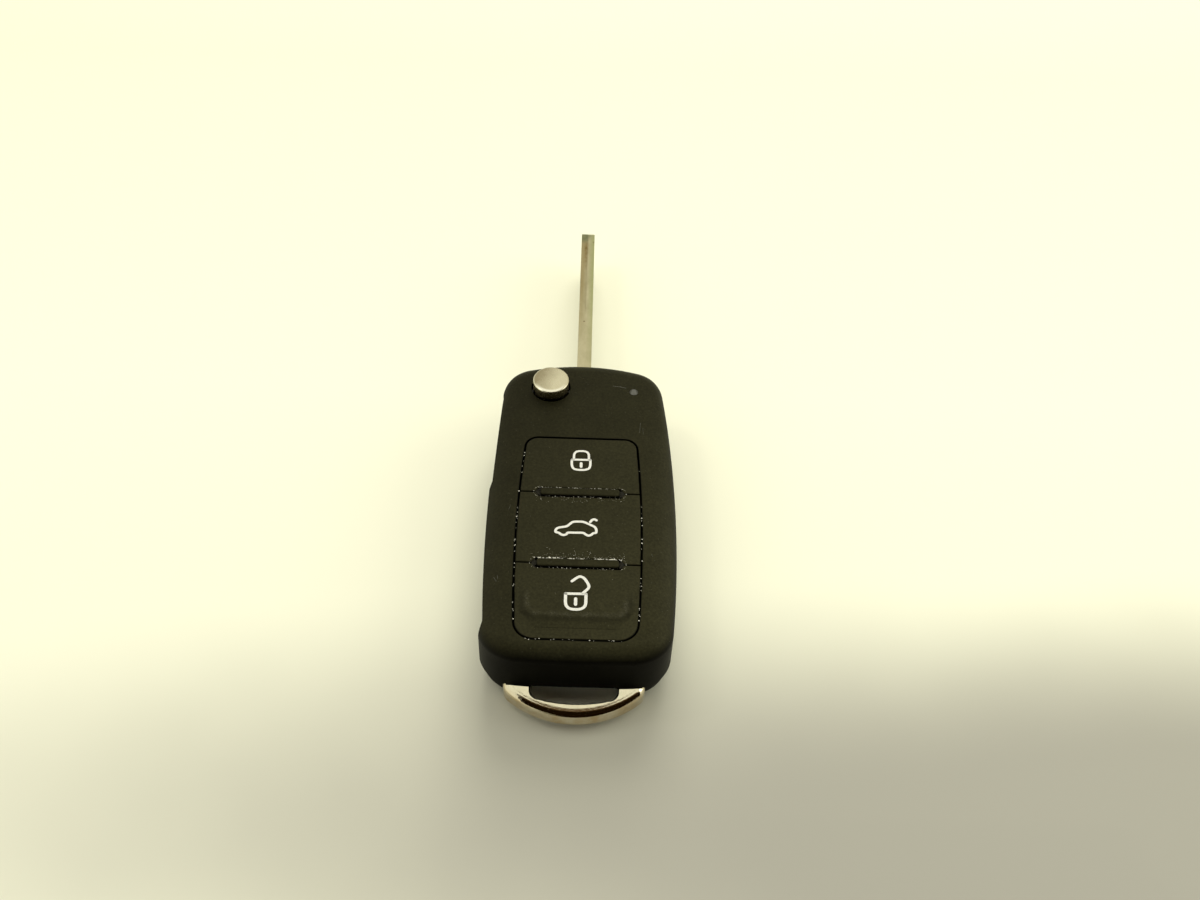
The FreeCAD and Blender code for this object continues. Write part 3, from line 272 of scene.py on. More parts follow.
    def specks(self, size, radius, share):
        """Sparse round specks: 1 inside, 0 outside."""
        near = self.span(self.cells(size), radius * 0.6 / size, radius / size, 1.0, 0.0)
        chosen = self.node("ShaderNodeSeparateColor")
        self.feed(chosen.inputs[0], self.cells(size, output="Color"))
        kept = self.math("GREATER_THAN", chosen.outputs[0], 1 - share)
        return self.product(near, kept)

    # Colour and surface

    def blend(self, share, first, second):
        """Mixes two colours."""
        made = self.node("ShaderNodeMix", data_type="RGBA")
        self.feed(made.inputs[0], share)
        for socket, value in ((made.inputs[6], first), (made.inputs[7], second)):
            self.feed(socket, value if hasattr(value, "is_output") else (*value, 1))
        return made.outputs[2]

    def scaled(self, vector, factor):
        """A colour or a direction times a factor."""
        made = self.node("ShaderNodeVectorMath", operation="SCALE")
        self.feed(made.inputs[0], vector)
        self.feed(made.inputs["Scale"], factor)
        return made.outputs[0]

    def polish(self, size, low, high, **how):
        """Uneven roughness between two values."""
        self.put("Roughness", self.cloud(size, values=(low, high), **how))

    def bump(self, height, depth, facing=None):
        """Height from 0 to 1 stands for that many millimetres on what faces that way."""
        made = self.node("ShaderNodeBump")
        made.inputs["Strength"].default_value = 1.0
        made.inputs["Distance"].default_value = depth * MM
        self.feed(made.inputs["Height"], height)
        if facing is not None:
            self.feed(made.inputs["Normal"], facing)
        self.put("Normal", made.outputs[0])


def moulded(name, shaded_walls, lit_tops, rough, grain, depth, dust, specular):
    """Fine-grained moulded plastic, with grime along the keypad's seam.

    What faces up is painted lighter than the walls, as painted light and shade, and carries dust
    specks and hairlines. The whole is painted lighter to the right and towards the loop, as painted
    light.
    """
    shade = Shade(name, Metallic=0.0, Specular_IOR_Level=specular, Specular_Tint=PLASTIC_GLOSS)
    # Painted light and shade: faces turned up get the lit tone, walls the shaded tone.
    up = shade.span(shade.facing_up(), 0.28, 0.80)
    cloudy = shade.cloud(5.0, (0.25, 0.75), (0.72, 1.0), detail=4, roughness=0.6)
    colour = shade.blend(shade.product(up, cloudy), shaded_walls, lit_tops)
    marks = shade.cloud(1.6, (0.62, 0.70), detail=5, roughness=0.65, stretch=(0.35, 1.4, 1),
                        shift=(3, 8, 1))
    fine = shade.cloud(0.25, (0.70, 0.78), (0.0, 0.6), detail=2, stretch=(1, 0.08, 1))
    colour = shade.blend(shade.product(marks, fine, up), colour, SCORED)
    mottle = shade.cloud(0.45, (0.35, 0.70), (0.80, 1.30), roughness=0.7, shift=(6, 1, 2))
    colour = shade.scaled(colour, mottle)
    # Painted light: the plastic is painted lighter to the right and towards the loop, where light
    # falls.
    across = shade.span(shade.axis(0), -16, 16, 0.80, 1.15)
    along = shade.span(shade.axis(1), -30, 25, 1.34, 0.97)
    colour = shade.scaled(colour, shade.product(across, along))
    grime = shade.product(shade.span(shade.from_seam(), 0.13, 0.31, 1.0, 0.0),
                          shade.cloud(1.3, (0.3, 0.65), (0.55, 0.95), roughness=0.6))
    colour = shade.blend(grime, colour, GRIME)
    for size, share, strength in ((0.45, dust * 3, 0.28), (1.2, dust * 1.5, 0.9)):
        specks = shade.product(shade.specks(size, 0.055, share), strength, up)
        colour = shade.blend(specks, colour, SPECK)
    shade.put("Base Color", colour)
    shade.polish(9.0, rough - 0.04, rough + 0.05, shift=(5, 2, 7))
    texture = shade.math("ADD", shade.product(shade.noise(grain, detail=2), 0.8),
                         shade.product(shade.noise(grain * 3, detail=2), 0.4))
    shade.bump(texture, depth)
    return shade.material


def worn_and_shaded_key(material):
    """The unlock key's plastic: the same, with pale wear along the lower corners of its raised
    middle and a painted shadow of the raised middle at their foot.
    """
    shade = Shade.of(material.copy(), "unlock_key_worn_and_shaded")
    beside = shade.math("SUBTRACT", shade.math("ABSOLUTE", shade.axis(0)), RAISED_HALF)
    below = shade.math("SUBTRACT", RAISED_LOW, shade.axis(1))
    reach = shade.length(*(shade.math("MAXIMUM", way, 0.0) for way in (beside, below)))
    low = shade.span(shade.axis(1), -23.0, -20.5, 1.0, 0.0)
    edge = shade.span(shade.gap(reach, RAISED_EDGE), 0.0, 0.75, 1.0, 0.0)
    patchy = shade.cloud(1.5, (0.40, 0.62), detail=5, roughness=0.7, shift=(9, 3, 5))
    fine = shade.cloud(0.22, (0.42, 0.66), roughness=0.7)
    wear = shade.product(edge, low, patchy, fine, 0.55)
    # Painted shadow: a darker band at the foot of the raised middle, where its shadow falls.
    foot_shadow = shade.span(shade.gap(reach, RAISED_FOOT), 0.1, 0.9, 0.30, 0.0)
    kept = shade.math("SUBTRACT", 1.0, shade.product(foot_shadow, low))
    under = shade.scaled(shade.socket_of("Base Color"), kept)
    shade.put("Base Color", shade.blend(wear, under, WORN))
    return shade.material


def metal(name, dark, light, smooth_to_rough, grain, depth):
    """Metal with uneven tone and polish."""
    shade = Shade(name, Metallic=1.0)
    shade.put("Base Color", shade.blend(shade.cloud(3.0, detail=4, roughness=0.6), dark, light))
    shade.polish(1.2, *smooth_to_rough, detail=4, roughness=0.6, shift=(7, 1, 3))
    shade.bump(shade.noise(grain, roughness=0.6), depth)
    return shade.material


def chrome_trim():
    """Polished plating with a warm cast, its rounded edges painted browner as a painted reflection.

    Its flat face leans a little to the outside.
    """
    shade = Shade("trim_chrome", Metallic=1.0)
    cloud = shade.cloud(2.4, detail=4, roughness=0.6)
    top = shade.blend(cloud, (0.70, 0.65, 0.49), (0.80, 0.755, 0.60))
    patchy = shade.cloud(3.5, (0.35, 0.65), detail=4, roughness=0.7, shift=(2, 7, 4))
    # Painted reflection: the rounded edges are painted browner than the flat face.
    edge = shade.blend(patchy, (0.56, 0.44, 0.26), (0.72, 0.66, 0.52))
    flat = shade.span(shade.facing_up(), 0.35, 0.97)
    shade.put("Base Color", shade.blend(flat, edge, top))
    shade.polish(0.7, 0.06, 0.14, detail=4, roughness=0.6, shift=(7, 1, 3))
    lean = shade.scaled((0, -0.27, 0), shade.span(shade.facing_up(), 0.93, 0.999))
    leaning = shade.node("ShaderNodeVectorMath", operation="ADD")
    shade.feed(leaning.inputs[0], shade.normal())
    shade.feed(leaning.inputs[1], lean)
    facing = shade.node("ShaderNodeVectorMath", operation="NORMALIZE")
    shade.feed(facing.inputs[0], leaning.outputs[0])
    shade.bump(shade.noise(0.5, roughness=0.6), 0.006, facing.outputs[0])
    return shade.material


def blade_metal():
    """Milled steel: beige on top, greener on the right and browner on the left towards the tip,
    darker near the tip, with an amber line there and a few small pits.
    """
    shade = Shade("blade_steel_worn", Metallic=1.0)
    _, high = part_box("key_blade")
    x = shade.axis(0)
    back = shade.math("SUBTRACT", high.y / MM, shade.axis(1))  # millimetres behind the tip
    up = shade.span(shade.facing_up(), 0.3, 0.8)
    cloud = shade.cloud(2.2, detail=5, roughness=0.65, stretch=(1, 0.4, 1))
    side = shade.blend(cloud, (0.42, 0.40, 0.34), (0.56, 0.54, 0.48))
    top = shade.blend(cloud, (0.44, 0.395, 0.25), (0.58, 0.53, 0.36))
    colour = shade.blend(up, side, top)
    green = shade.product(shade.span(x, 0.1, 1.1), shade.span(back, 46, 20), up, 0.8)
    colour = shade.blend(green, colour, (0.37, 0.39, 0.19))
    brown = shade.product(shade.span(x, -0.9, 0.2, 1.0, 0.0), shade.span(back, 36, 18), 0.75)
    colour = shade.blend(brown, colour, (0.33, 0.26, 0.125))
    ragged = shade.cloud(0.8, (0.35, 0.65), (0.35, 1.0), detail=5, roughness=0.7)
    # Darker near the tip, more on the left.
    near_tip = shade.product(shade.span(back, 4.2, 2.6), shade.span(x, -0.3, 0.9, 1.0, 0.25))
    tip_darkening = shade.product(near_tip, shade.span(ragged, 0.35, 0.8, 0.65, 1.0),
                           shade.span(up, 0.0, 1.0, 0.35, 1.0))
    colour = shade.blend(tip_darkening, colour, (0.20, 0.21, 0.115))
    line = shade.span(shade.gap(x, -0.35), 0.05, 0.60, 1.0, 0.0)
    amber = shade.product(line, ragged, shade.span(back, 13, 6.5),
                          shade.span(back, 4.5, 3.0, 1.0, 0.0))
    colour = shade.blend(amber, colour, (0.19, 0.11, 0.010))
    pits = shade.product(shade.specks(2.0, 0.26, 0.42), 0.65)
    colour = shade.blend(pits, colour, (0.14, 0.10, 0.045))
    shade.put("Base Color", colour)
    shade.polish(1.0, 0.34, 0.5, detail=4, roughness=0.6)
    shade.bump(shade.noise(0.25, roughness=0.6, stretch=(1, 0.15, 1)), 0.010)
    return shade.material


def button_metal():
    """Satin metal toned with painted light: its top is painted darker to the left as painted shade,
    with a painted highlight in a bright crescent along its near edge and on a thin rim that is
    paler on the left; its brownish gold side, lighter higher up, is a painted reflection.
    """
    shade = Shade("button_satin", Metallic=1.0)
    x, y = shade.from_middle("release_button")
    low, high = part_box("release_button")
    inset = shade.math("SUBTRACT", (high.x - low.x) / 2 / MM, shade.length(x, y))
    # Painted shade: the top is painted darker to the left.
    painted_slant = shade.span(shade.math("ADD", x, shade.product(y, -0.4)), -2.8, 1.6)
    cloud = shade.cloud(1.8, values=(-0.12, 0.12), detail=4, roughness=0.6)
    top = shade.blend(shade.math("ADD", painted_slant, cloud), (0.33, 0.285, 0.185), (0.66, 0.61, 0.45))
    # Painted highlight: a bright crescent along the near edge.
    crescent = shade.product(shade.span(inset, 0.8, 0.45), shade.span(y, -2.6, -1.0, 1.0, 0.0))
    top = shade.blend(crescent, top, (0.93, 0.90, 0.78))
    # Painted highlight: a thin rim, paler on the left and darker on the right.
    rim = shade.blend(shade.span(x, -2.0, 1.0), (0.80, 0.80, 0.66), (0.36, 0.31, 0.21))
    top = shade.blend(shade.product(shade.span(inset, 0.30, 0.12), 0.55), top, rim)
    # Painted reflection: the side is painted brownish gold, lighter higher up.
    height = shade.span(shade.axis(2), 14.6, 16.4)
    side = shade.blend(height, (0.26, 0.22, 0.125), (0.62, 0.55, 0.37))
    shade.put("Base Color", shade.blend(shade.span(shade.facing_up(), 0.2, 0.75), side, top))
    shade.polish(0.9, 0.24, 0.34, detail=4, roughness=0.6, shift=(4, 4, 4))
    shade.bump(shade.noise(0.5, roughness=0.6), 0.002)
    return shade.material


def lamp_lens():
    """Smoky lens that shows grey in the middle and as dark as the shell round its edge."""
    shade = Shade("lamp_smoke", Metallic=0.0, Coat_Weight=0.2, Coat_Roughness=0.2)
    x, y = shade.from_middle("light_pipe")
    half_width = shade.product(shade.span(y, -0.3, 0.9, 1.0, 0.45), 0.62)
    across = shade.math("DIVIDE", shade.math("ABSOLUTE", x), half_width)
    along = shade.math("DIVIDE", shade.math("ABSOLUTE", y), 0.72)
    drop = shade.span(shade.math("MAXIMUM", across, along), 0.75, 1.1, 1.0, 0.0)
    lit = shade.product(drop, shade.cloud(0.5, values=(0.6, 1.0), roughness=0.6))
    shade.put("Base Color", shade.blend(lit, (0.017, 0.016, 0.007), (0.088, 0.088, 0.072)))
    shade.polish(0.4, 0.36, 0.5, roughness=0.6)
    shade.bump(shade.noise(0.5, detail=2), 0.008)
    return shade.material


def clear_plastic():
    """Clear plastic: pale, glossy and clouded inside."""
    shade = Shade("lens_clear", Metallic=0.0, Coat_Weight=0.4, Coat_Roughness=0.08)
    cloud = shade.cloud(0.7, (0.35, 0.65), roughness=0.6)
    shade.put("Base Color", shade.blend(cloud, (0.40, 0.40, 0.36), (0.62, 0.62, 0.56)))
    shade.polish(0.4, 0.2, 0.32, roughness=0.6)
    shade.bump(shade.noise(0.5, detail=2), 0.01)
    return shade.material


def laminate():
    """Green board with lighter traces under the lacquer."""
    shade = Shade("board_laminate", Metallic=0.0, Coat_Weight=0.3, Coat_Roughness=0.2)
    ways = shade.span(shade.gap(shade.cells(1.6, "F2"), shade.cells(1.6)), 0.0, 0.09, 1.0, 0.0)
    shade.put("Base Color", shade.blend(ways, (0.012, 0.09, 0.035), (0.03, 0.19, 0.07)))
    shade.polish(2.0, 0.35, 0.5)
    shade.bump(ways, 0.03)
    return shade.material


def print_paint():
    """White print, slightly creamy, thin in places."""
    shade = Shade("white_print", Metallic=0.0)
    thin = shade.cloud(0.22, (0.3, 0.72), roughness=0.6)
    shade.put("Base Color", shade.blend(thin, (0.66, 0.65, 0.56), (0.86, 0.855, 0.76)))
    shade.polish(0.3, 0.45, 0.6, detail=2)
    shade.bump(shade.noise(0.12, detail=2), 0.004)
    return shade.material


def scratch_material():
    """Plastic whitened where it was scored."""
    shade = Shade("scored_plastic", Metallic=0.0)
    faint = shade.cloud(0.3, (0.35, 0.65), roughness=0.6)
    shade.put("Base Color", shade.blend(faint, (0.025, 0.025, 0.017), (0.095, 0.095, 0.075)))
    shade.polish(0.2, 0.6, 0.75, detail=2)
    shade.bump(shade.noise(0.08, detail=2), 0.004)
    return shade.material


def dust_material(name, dark, pale):
    """Dry grains of mixed tone."""
    shade = Shade(name, Metallic=0.0)
    shade.put("Base Color", shade.blend(shade.cloud(0.4, detail=2), dark, pale))
    shade.polish(0.1, 0.8, 0.95, detail=2)
    shade.bump(shade.noise(0.03, detail=2), 0.01)
    return shade.material


def make_materials():
    """A material for each slot."""
    return {
        # Each plastic has a painted lit tone for its tops and a painted shaded tone for its walls.
        "shell_plastic": moulded(
            "shell_satin_black", shaded_walls=(0.0015, 0.0014, 0.0007), lit_tops=(0.0192, 0.0181, 0.0078),
            rough=0.50, grain=0.16, depth=0.014, dust=0.05, specular=0.065),
        "key_plastic": moulded(
            "key_soft_black", shaded_walls=(0.0060, 0.0058, 0.0030), lit_tops=(0.0224, 0.0211, 0.0092),
            rough=0.54, grain=0.12, depth=0.010, dust=0.03, specular=0.075),
        "component_plastic": moulded(
            "component_black", shaded_walls=(0.012, 0.012, 0.013), lit_tops=(0.03, 0.03, 0.031),
            rough=0.45, grain=0.3, depth=0.02, dust=0.0, specular=0.3),
        "silicone": moulded(
            "silicone_grey", shaded_walls=(0.12, 0.12, 0.12), lit_tops=(0.18, 0.18, 0.175),
            rough=0.62, grain=0.4, depth=0.02, dust=0.02, specular=0.3),
        "cell_steel": metal(
            "cell_nickel", dark=(0.50, 0.49, 0.46), light=(0.66, 0.65, 0.62),
            smooth_to_rough=(0.2, 0.32), grain=0.4, depth=0.004),
        "hub_metal": metal(
            "hub_cast", dark=(0.28, 0.27, 0.25), light=(0.42, 0.41, 0.39),
            smooth_to_rough=(0.35, 0.55), grain=0.5, depth=0.02),
        "spring_steel": metal(
            "spring_wire", dark=(0.22, 0.22, 0.22), light=(0.42, 0.42, 0.41),
            smooth_to_rough=(0.3, 0.45), grain=0.3, depth=0.01),
        "clear_plastic": clear_plastic(),
        "circuit_laminate": laminate(),
        "blade_steel": blade_metal(),
        "chrome_trim": chrome_trim(),
    }


def dress(name, material):
    """Gives a node its material."""
    materials = nodes[name].data.materials
    materials.clear()
    materials.append(material)


def dress_nodes(by_slot):
    """Each node gets its slot's material; the button, the lamp and the unlock key get their own."""
    slots = {part["node"]: part["material_slot"] for part in frame["record"]["subparts"]}
    for name in nodes:
        dress(name, by_slot[slots[name]])
    dress("release_button", button_metal())
    dress("light_pipe", lamp_lens())
    dress("unlock_key", worn_and_shaded_key(by_slot["key_plastic"]))


# Strokes laid on a surface

def smooth(points, closed):
    """More points along a soft curve through the given ones."""
    line = [Vector(point) for point in points]
    count = len(line)
    spans = count if closed else count - 1
    result = []
    for index in range(spans):
        second, third = line[index], line[(index + 1) % count]
        first = line[index - 1] if closed or index else second
        fourth = line[(index + 2) % count] if closed or index + 2 < count else third
        for step in range(CURVE_PARTS):
            s = step / CURVE_PARTS
            result.append(0.5 * (2 * second + (third - first) * s
                                 + (2 * first - 5 * second + 4 * third - fourth) * s ** 2
                                 + (3 * second - first - 3 * third + fourth) * s ** 3))
    if not closed:
        result.append(line[-1])
    return result


def top_of(name):
    """Gives the height of that node's top at a place."""
    thing = nodes[name]
    into, out_of = thing.matrix_world.inverted(), thing.matrix_world
    down = (into.to_3x3() @ Vector((0, 0, -1))).normalized()

    def height(point):
        start = into @ (Vector((point.x, point.y, 2 * FACE_Z)) * MM)
        hit, place, _, _ = thing.ray_cast(start, down)
        return (out_of @ place).z / MM if hit else FACE_Z

    return height


def add_stroke(bm, points, width, height, closed=OPEN, rise=PRINT):
    """A flat line of that width along the points, with round ends, as a thin closed solid."""
    line = [Vector(point) for point in points]
    count = len(line)
    left, right = [], []
    for index, point in enumerate(line):
        before = line[index - 1] if closed or index else point
        after = line[(index + 1) % count] if closed or index < count - 1 else point
        back = (point - before).normalized()
        ahead = (after - point).normalized()
        way = (back + ahead).normalized()
        across = Vector((-way.y, way.x))
        side = ahead if ahead.length else back
        grow = 1 / max(0.6, across.dot(Vector((-side.y, side.x))))
        left.append(point + across * grow * width / 2)
        right.append(point - across * grow * width / 2)
    for index in range(count if closed else count - 1):
        after = (index + 1) % count
        add_plate(bm, (left[index], right[index], right[after], left[after]), height, rise)
    if not closed:
        for end, start, stop in ((line[-1], left[-1], right[-1]), (line[0], right[0], left[0])):
            add_plate(bm, [start] + cap(end, start, width) + [stop], height, rise)


def cap(centre, start, width):
    """Points of a half circle from start clockwise round centre, without its ends."""
    first = start - centre
    angle = math.atan2(first.y, first.x)
    points = []
    for k in range(1, CAP_PARTS):
        turned = angle - math.pi * k / CAP_PARTS
        points.append(centre + Vector((math.cos(turned), math.sin(turned))) * width / 2)
    return points


def add_plate(bm, outline, height, rise):
    """A thin convex plate on a surface, its foot a hair inside it."""
    top = [bm.verts.new((p.x * MM, p.y * MM, (height(p) + rise) * MM)) for p in outline]
    foot = [bm.verts.new((p.x * MM, p.y * MM, (height(p) - SINK) * MM)) for p in outline]
    bm.faces.new(top)
    bm.faces.new(foot[::-1])
    count = len(outline)
    for index in range(count):
        after = (index + 1) % count
        bm.faces.new((top[after], top[index], foot[index], foot[after]))


def finish_piece(name, bm, body, material):
    """Makes a piece that moves with that body."""
    bmesh.ops.triangulate(bm, faces=[face for face in bm.faces if len(face.verts) > 4])
    bmesh.ops.recalc_face_normals(bm, faces=bm.faces)
    mesh = bpy.data.meshes.new(name)
    bm.to_mesh(mesh)
    bm.free()
    mesh.materials.append(material)
    thing = bpy.data.objects.new(name, mesh)
    scene.collection.objects.link(thing)
    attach(thing, body)


# Printed icons

def add_icon(key, body, strokes, material):
    """Prints strokes, each (points on the keypad, line width, closed, soft), on one key."""
    height = top_of(key + "_key")
    bm = bmesh.new()
    for points, width, closed, soft in strokes:
        placed = [(x, y + PAD_Y) for x, y in points]
        add_stroke(bm, smooth(placed, closed) if soft else placed, width, height, closed)
    finish_piece("icon_" + key, bm, body, material)


def add_icons(material):
    """A closed padlock, a car with its lid lifted, and an open padlock."""
    add_icon("lock", "lock_button", [
        ([(-1.68, 16.85), (-1.66, 15.6), (-1.36, 14.76), (-0.7, 14.47), (0.04, 14.43),
          (0.8, 14.50), (1.44, 14.84), (1.68, 15.6), (1.68, 16.88)], 0.44, OPEN, SOFT),
        ([(-1.68, 16.85), (1.68, 16.88)], 0.44, OPEN, STRAIGHT),
        ([(-1.32, 16.9), (-1.30, 18.1), (-0.96, 18.72), (-0.4, 18.94), (0.06, 18.97),
          (0.5, 18.95), (1.02, 18.76), (1.36, 18.15), (1.40, 16.9)], 0.42, OPEN, SOFT),
        ([(0.02, 16.02), (0.03, 15.2)], 0.5, OPEN, STRAIGHT),
    ], material)
    add_icon("trunk", "trunk_button", [
        ([(-4.0, 0.06), (-3.45, -0.12), (-3.1, -0.43), (-2.62, -0.56), (-2.17, -0.38),
          (-1.85, -0.02), (-0.52, 0.02), (0.72, 0.03), (1.12, -0.24), (1.66, -0.53),
          (2.16, -0.35), (2.5, 0.0), (2.96, 0.14), (3.04, 0.62), (2.86, 1.26), (2.43, 1.62),
          (1.76, 1.98), (0.9, 2.41), (0.25, 2.50), (-0.7, 2.47), (-1.2, 2.32), (-1.65, 1.88),
          (-2.12, 1.42), (-2.76, 1.22), (-3.46, 1.07), (-3.9, 0.78), (-4.06, 0.4)],
         0.46, CLOSED, SOFT),
        ([(1.95, 2.5), (2.33, 3.0), (2.69, 3.1), (3.02, 2.9)], 0.46, OPEN, SOFT),
    ], material)
    add_icon("unlock", "unlock_button", [
        ([(-1.88, -13.1), (-1.86, -14.9), (-1.62, -15.74), (-1.05, -16.2), (-0.17, -16.32),
          (0.75, -16.17), (1.33, -15.68), (1.52, -14.9), (1.52, -13.05)], 0.52, OPEN, SOFT),
        ([(-1.88, -13.1), (1.52, -13.05)], 0.50, OPEN, STRAIGHT),
        ([(0.95, -12.95), (1.75, -12.05), (1.98, -11.4), (1.66, -10.56), (1.12, -9.74),
          (0.46, -9.42), (-0.12, -9.72), (-0.9, -10.45)], 0.50, OPEN, SOFT),
        ([(-0.18, -14.1), (-0.17, -15.3)], 0.55, OPEN, STRAIGHT),
    ], material)


# Dust, dirt and scratches. Each spot is (x and y on the keypad, size).

def seam_spots():
    """In the seam round the keys and in the gaps round the bars, most along the lower bar."""
    spots = []
    for _ in range(52):
        y = random.uniform(-PAD_END + 3, PAD_END - 3)
        side = random.choice((-1, 1))
        seam = PAD_MIDDLE - PAD_BOW * (y / PAD_END) ** 2
        x = side * (seam + random.uniform(-0.10, 0.10))
        spots.append((x, y, random.uniform(0.035, 0.105)))
    for _ in range(22):
        x = random.uniform(-9, 9)
        y = -PAD_END + random.uniform(-0.13, 0.13)
        spots.append((x, y, random.uniform(0.03, 0.085)))
    for bar, clusters, largest in ((UPPER_BAR, 5, 0.055), (LOWER_BAR, 12, 0.11)):
        for _ in range(clusters):
            middle = random.uniform(-HALF_BAR, HALF_BAR)
            for _ in range(9):
                x = middle + random.gauss(0, 0.42)
                y = bar + 1.02 + random.gauss(0, 0.06)
                spots.append((x, y, random.uniform(0.035, largest)))
        for count, gap, scatter, most in ((60, BAR_GAP, 0.12, 0.055), (46, -BAR_GAP, 0.16, 0.06)):
            for _ in range(count):
                x = random.uniform(-HALF_BAR, HALF_BAR)
                y = bar + gap + random.gauss(0, scatter)
                spots.append((x, y, random.uniform(0.025, most)))
        for _ in range(30):
            angle = random.uniform(-0.5 * math.pi, 0.5 * math.pi)
            side = random.choice((-1, 1))
            x = side * (HALF_BAR + 0.35 + 0.8 * math.cos(angle))
            y = bar + 1.05 * math.sin(angle)
            spots.append((x, y, random.uniform(0.025, 0.065)))
    return spots


def bar_end_spots():
    """Close together at both ends of both bars."""
    spots = []
    for bar in (UPPER_BAR, LOWER_BAR):
        for side in (-1, 1):
            for _ in range(60):
                x = side * (HALF_BAR + random.uniform(0.0, 0.85))
                y = bar + random.gauss(0, 0.48)
                spots.append((x, y, random.uniform(0.09, 0.17)))
    return spots


def key_spots():
    """On the trunk key, thinning out from the bars."""
    spots = []
    for bar, way, count in ((LOWER_BAR, 1, 110), (UPPER_BAR, -1, 60)):
        for _ in range(count):
            x = random.uniform(-HALF_BAR - 1, HALF_BAR + 1)
            y = bar + way * 1.1 + way * abs(random.gauss(0, 0.7))
            spots.append((x, y, random.uniform(0.014, 0.034)))
    return spots


def add_dust(pale, dirt):
    """Pale grains in the seams and on the trunk key, and dark dirt packed at the bars' ends."""
    random.seed(11)
    add_grains("seam_dust", seam_spots(), lambda point: SEAM_Z, "shell", pale)
    add_grains("packed_dirt", bar_end_spots(), lambda point: DIRT_Z, "shell", dirt)
    add_grains("key_dust", key_spots(), top_of("trunk_key"), "trunk_button", pale)


def add_grains(name, spots, height, body, material):
    """Flattened grains lying at a height."""
    bm = bmesh.new()
    for x, y, size in spots:
        place = Vector((x, PAD_Y + y))
        shape = Matrix.Diagonal((random.uniform(0.8, 1.9), random.uniform(0.6, 1.4), 0.55, 1))
        move = Matrix.Translation(Vector((place.x, place.y, height(place))) * MM)
        bmesh.ops.create_icosphere(bm, subdivisions=1, radius=size * MM, matrix=move @ shape)
    finish_piece(name, bm, body, material)


def add_scratches(material):
    """Hairlines on the shell, each (points, width): beside the lamp, on the left shoulder and
    beside the keys.
    """
    lines = [
        ([(5.66, 35.81), (6.7, 35.68), (8.15, 35.39)], 0.09),
        ([(6.9, 35.9), (7.5, 35.5)], 0.05),
        ([(-14.2, -9.6), (-13.7, -10.5)], 0.08),
        ([(-13.6, -9.3), (-13.5, -10.1)], 0.06),
        ([(-13.9, -10.9), (-13.3, -10.6)], 0.05),
        ([(10.9, 26.5), (10.7, 24.0)], 0.05),
        ([(11.3, 25.2), (11.4, 23.6)], 0.04),
        ([(12.6, -4.0), (13.2, -5.4)], 0.04),
        ([(-12.2, 6.0), (-12.5, 4.8)], 0.04),
    ]
    height = top_of("front_cover")
    bm = bmesh.new()
    for points, width in lines:
        placed = [(x, y + PAD_Y) for x, y in points]
        add_stroke(bm, placed, width, height, rise=SCRATCH)
    finish_piece("shell_scratches", bm, "shell", material)


# Studio. Places and sizes are in metres here.

def make_floor():
    """A pale surface with a painted shadow towards the viewer, where it is a little darker and
    greener, and a little darker further back.
    """
    bpy.ops.mesh.primitive_plane_add(size=6, location=(0, 0, 0))
    floor = bpy.context.object
    floor.name = "floor"
    shade = Shade("floor_pale", Metallic=0.0, Roughness=0.75, Specular_IOR_Level=0.15)
    ways = [shade.math("DIVIDE", shade.math("SUBTRACT", shade.axis(index), middle), reach)
            for index, (middle, reach) in enumerate(zip(SHADOW_MIDDLE, SHADOW_REACH))]
    # Painted shadow: the floor is painted darker inside the ellipse before the object, with a
    # ragged edge.
    uneven = shade.product(shade.noise(45, detail=2), 0.10)
    near = shade.span(shade.math("ADD", shade.length(*ways), uneven), *SHADOW_EDGE, 1.0, 0.0)
    near.node.interpolation_type = "SMOOTHSTEP"
    far = shade.span(shade.axis(1), 40, 160)
    pale = shade.blend(far, (0.935, 0.93, 0.715), (0.80, 0.80, 0.60))
    shade.put("Base Color", shade.blend(near, pale, (0.42, 0.408, 0.332)))
    floor.data.materials.append(shade.material)


def make_world():
    """Pale all round. What it sheds on the object is softer than what shows and is mirrored."""
    world = bpy.data.worlds.new("studio")
    scene.world = world
    world.use_nodes = True
    tree = world.node_tree
    tree.nodes.clear()
    path = tree.nodes.new("ShaderNodeLightPath")
    shown = path.outputs["Is Camera Ray"]
    for entry in ("Is Glossy Ray", "Is Transmission Ray"):
        either = tree.nodes.new("ShaderNodeMath")
        either.operation = "MAXIMUM"
        tree.links.new(shown, either.inputs[0])
        tree.links.new(path.outputs[entry], either.inputs[1])
        shown = either.outputs[0]
    mix = tree.nodes.new("ShaderNodeMixShader")
    tree.links.new(shown, mix.inputs[0])
    tones = (((1.0, 0.985, 0.93, 1), 0.86), ((0.985, 0.965, 0.80, 1), 1.0))
    for socket, (colour, strength) in zip(mix.inputs[1:], tones):
        light = tree.nodes.new("ShaderNodeBackground")
        light.inputs["Color"].default_value = colour
        light.inputs["Strength"].default_value = strength
        tree.links.new(light.outputs[0], socket)
    output = tree.nodes.new("ShaderNodeOutputWorld")
    tree.links.new(mix.outputs[0], output.inputs[0])


def add_lamp(name, place, size, power, colour, mirrored=True):
    """A round lamp that is aimed at the object."""
    data = bpy.data.lights.new(name, "AREA")
    data.shape = "DISK"
    data.size = size
    data.energy = power
    data.color = colour
    lamp = bpy.data.objects.new(name, data)
    scene.collection.objects.link(lamp)
    lamp.location = place
    lamp.rotation_mode = "QUATERNION"
    lamp.rotation_quaternion = (-Vector(place)).to_track_quat("-Z", "Y")
    lamp.visible_glossy = mirrored


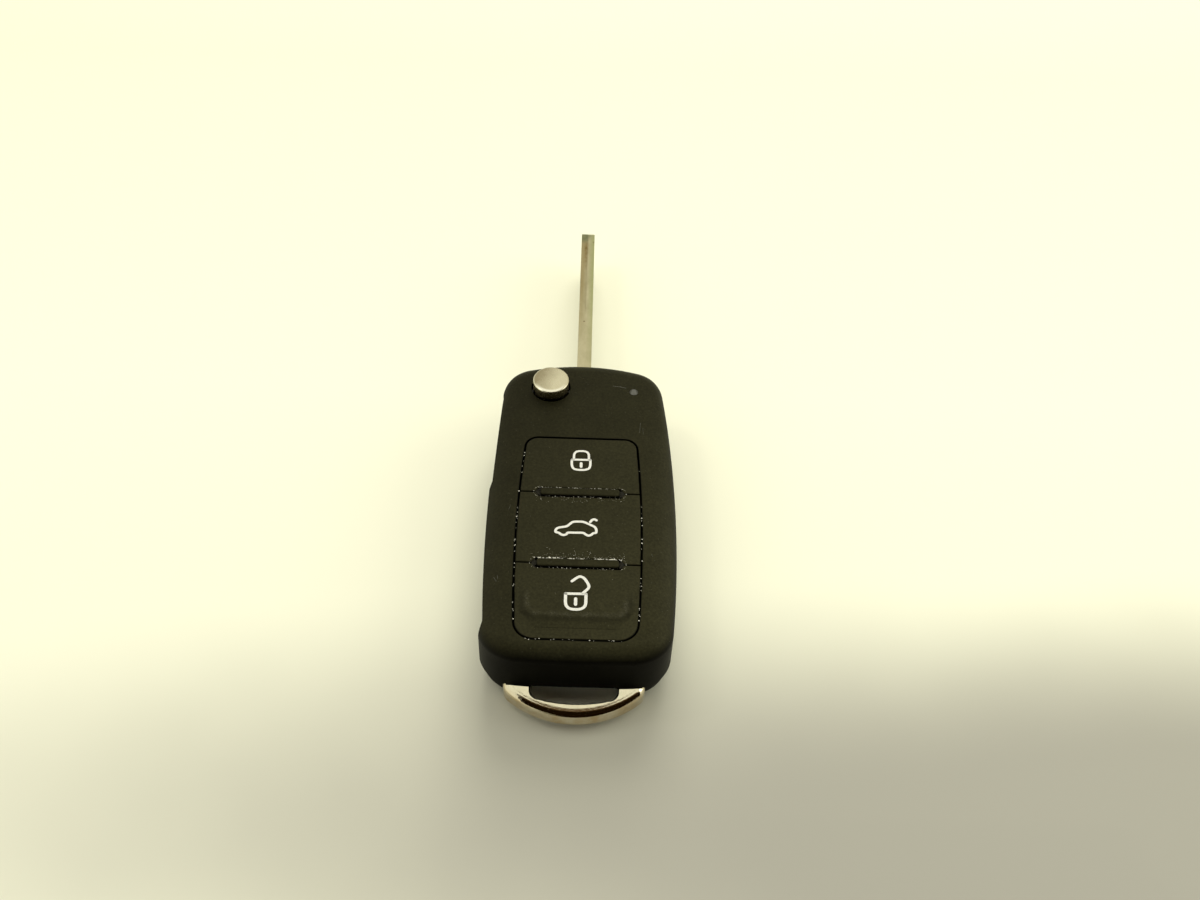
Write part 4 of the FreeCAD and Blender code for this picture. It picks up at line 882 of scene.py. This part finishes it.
def add_lamps():
    """A broad lamp behind the object, one from the right and a small one from the left."""
    add_lamp("broad", (0.06, 0.60, 0.50), 0.50, 3.5, (1.0, 0.985, 0.93), mirrored=False)
    add_lamp("side", (0.60, 0.12, 0.30), 0.45, 1.0, (0.98, 1.0, 0.86))
    add_lamp("spark", (-0.36, 0.10, 0.56), 0.10, 0.22, (1.0, 0.98, 0.92))


def add_card(name, corners, material, shades):
    """A card that the camera doesn't see.

    It shows in what mirrors it, and may keep light off the object.
    """
    bm = bmesh.new()
    bm.faces.new([bm.verts.new(corner) for corner in corners])
    mesh = bpy.data.meshes.new(name)
    bm.to_mesh(mesh)
    bm.free()
    card = bpy.data.objects.new(name, mesh)
    scene.collection.objects.link(card)
    mesh.materials.append(material)
    card.visible_camera = False
    card.visible_diffuse = shades
    card.visible_shadow = shades


def add_dark_cards():
    """A dark card behind the viewer, in two parts, and its foot on the floor before the loop.

    The metal and the shell's near wall mirror them, and the upper part shades the near side.
    """
    shade = Shade("card_dark", Metallic=0.0, Roughness=0.9, Specular_IOR_Level=0.0)
    height = shade.math("ADD", shade.axis(2), shade.product(shade.noise(150, detail=2), 80))
    high = shade.span(height, 420, 560)
    shade.put("Base Color", shade.blend(high, (0.008, 0.004, 0.001), (0.085, 0.050, 0.024)))
    left, right = -0.32, 0.9
    bottom, fold, top = (-0.34, 0.0), (-0.271, 0.25), (-0.166, 0.63)
    for name, lower, upper, shades in (("dark_card_high", fold, top, True),
                                       ("dark_card_low", bottom, fold, False)):
        corners = [(left, *lower), (right, *lower), (right, *upper), (left, *upper)]
        add_card(name, corners, shade.material, shades)
    lift, far, near = 0.0008, -0.34, -0.053
    corners = [(-0.05, far, lift), (0.2, far, lift), (0.09, near, lift), (-0.02, near, lift)]
    add_card("dark_foot", corners, shade.material, False)


make_camera()
dress_nodes(make_materials())
add_icons(print_paint())
add_dust(dust_material("dust_pale", (0.52, 0.50, 0.38), (0.96, 0.94, 0.80)),
         dust_material("dirt_dark", (0.006, 0.0055, 0.002), (0.014, 0.0125, 0.005)))
add_scratches(scratch_material())
make_floor()
make_world()
add_lamps()
add_dark_cards()
scene.view_settings.view_transform = "Standard"
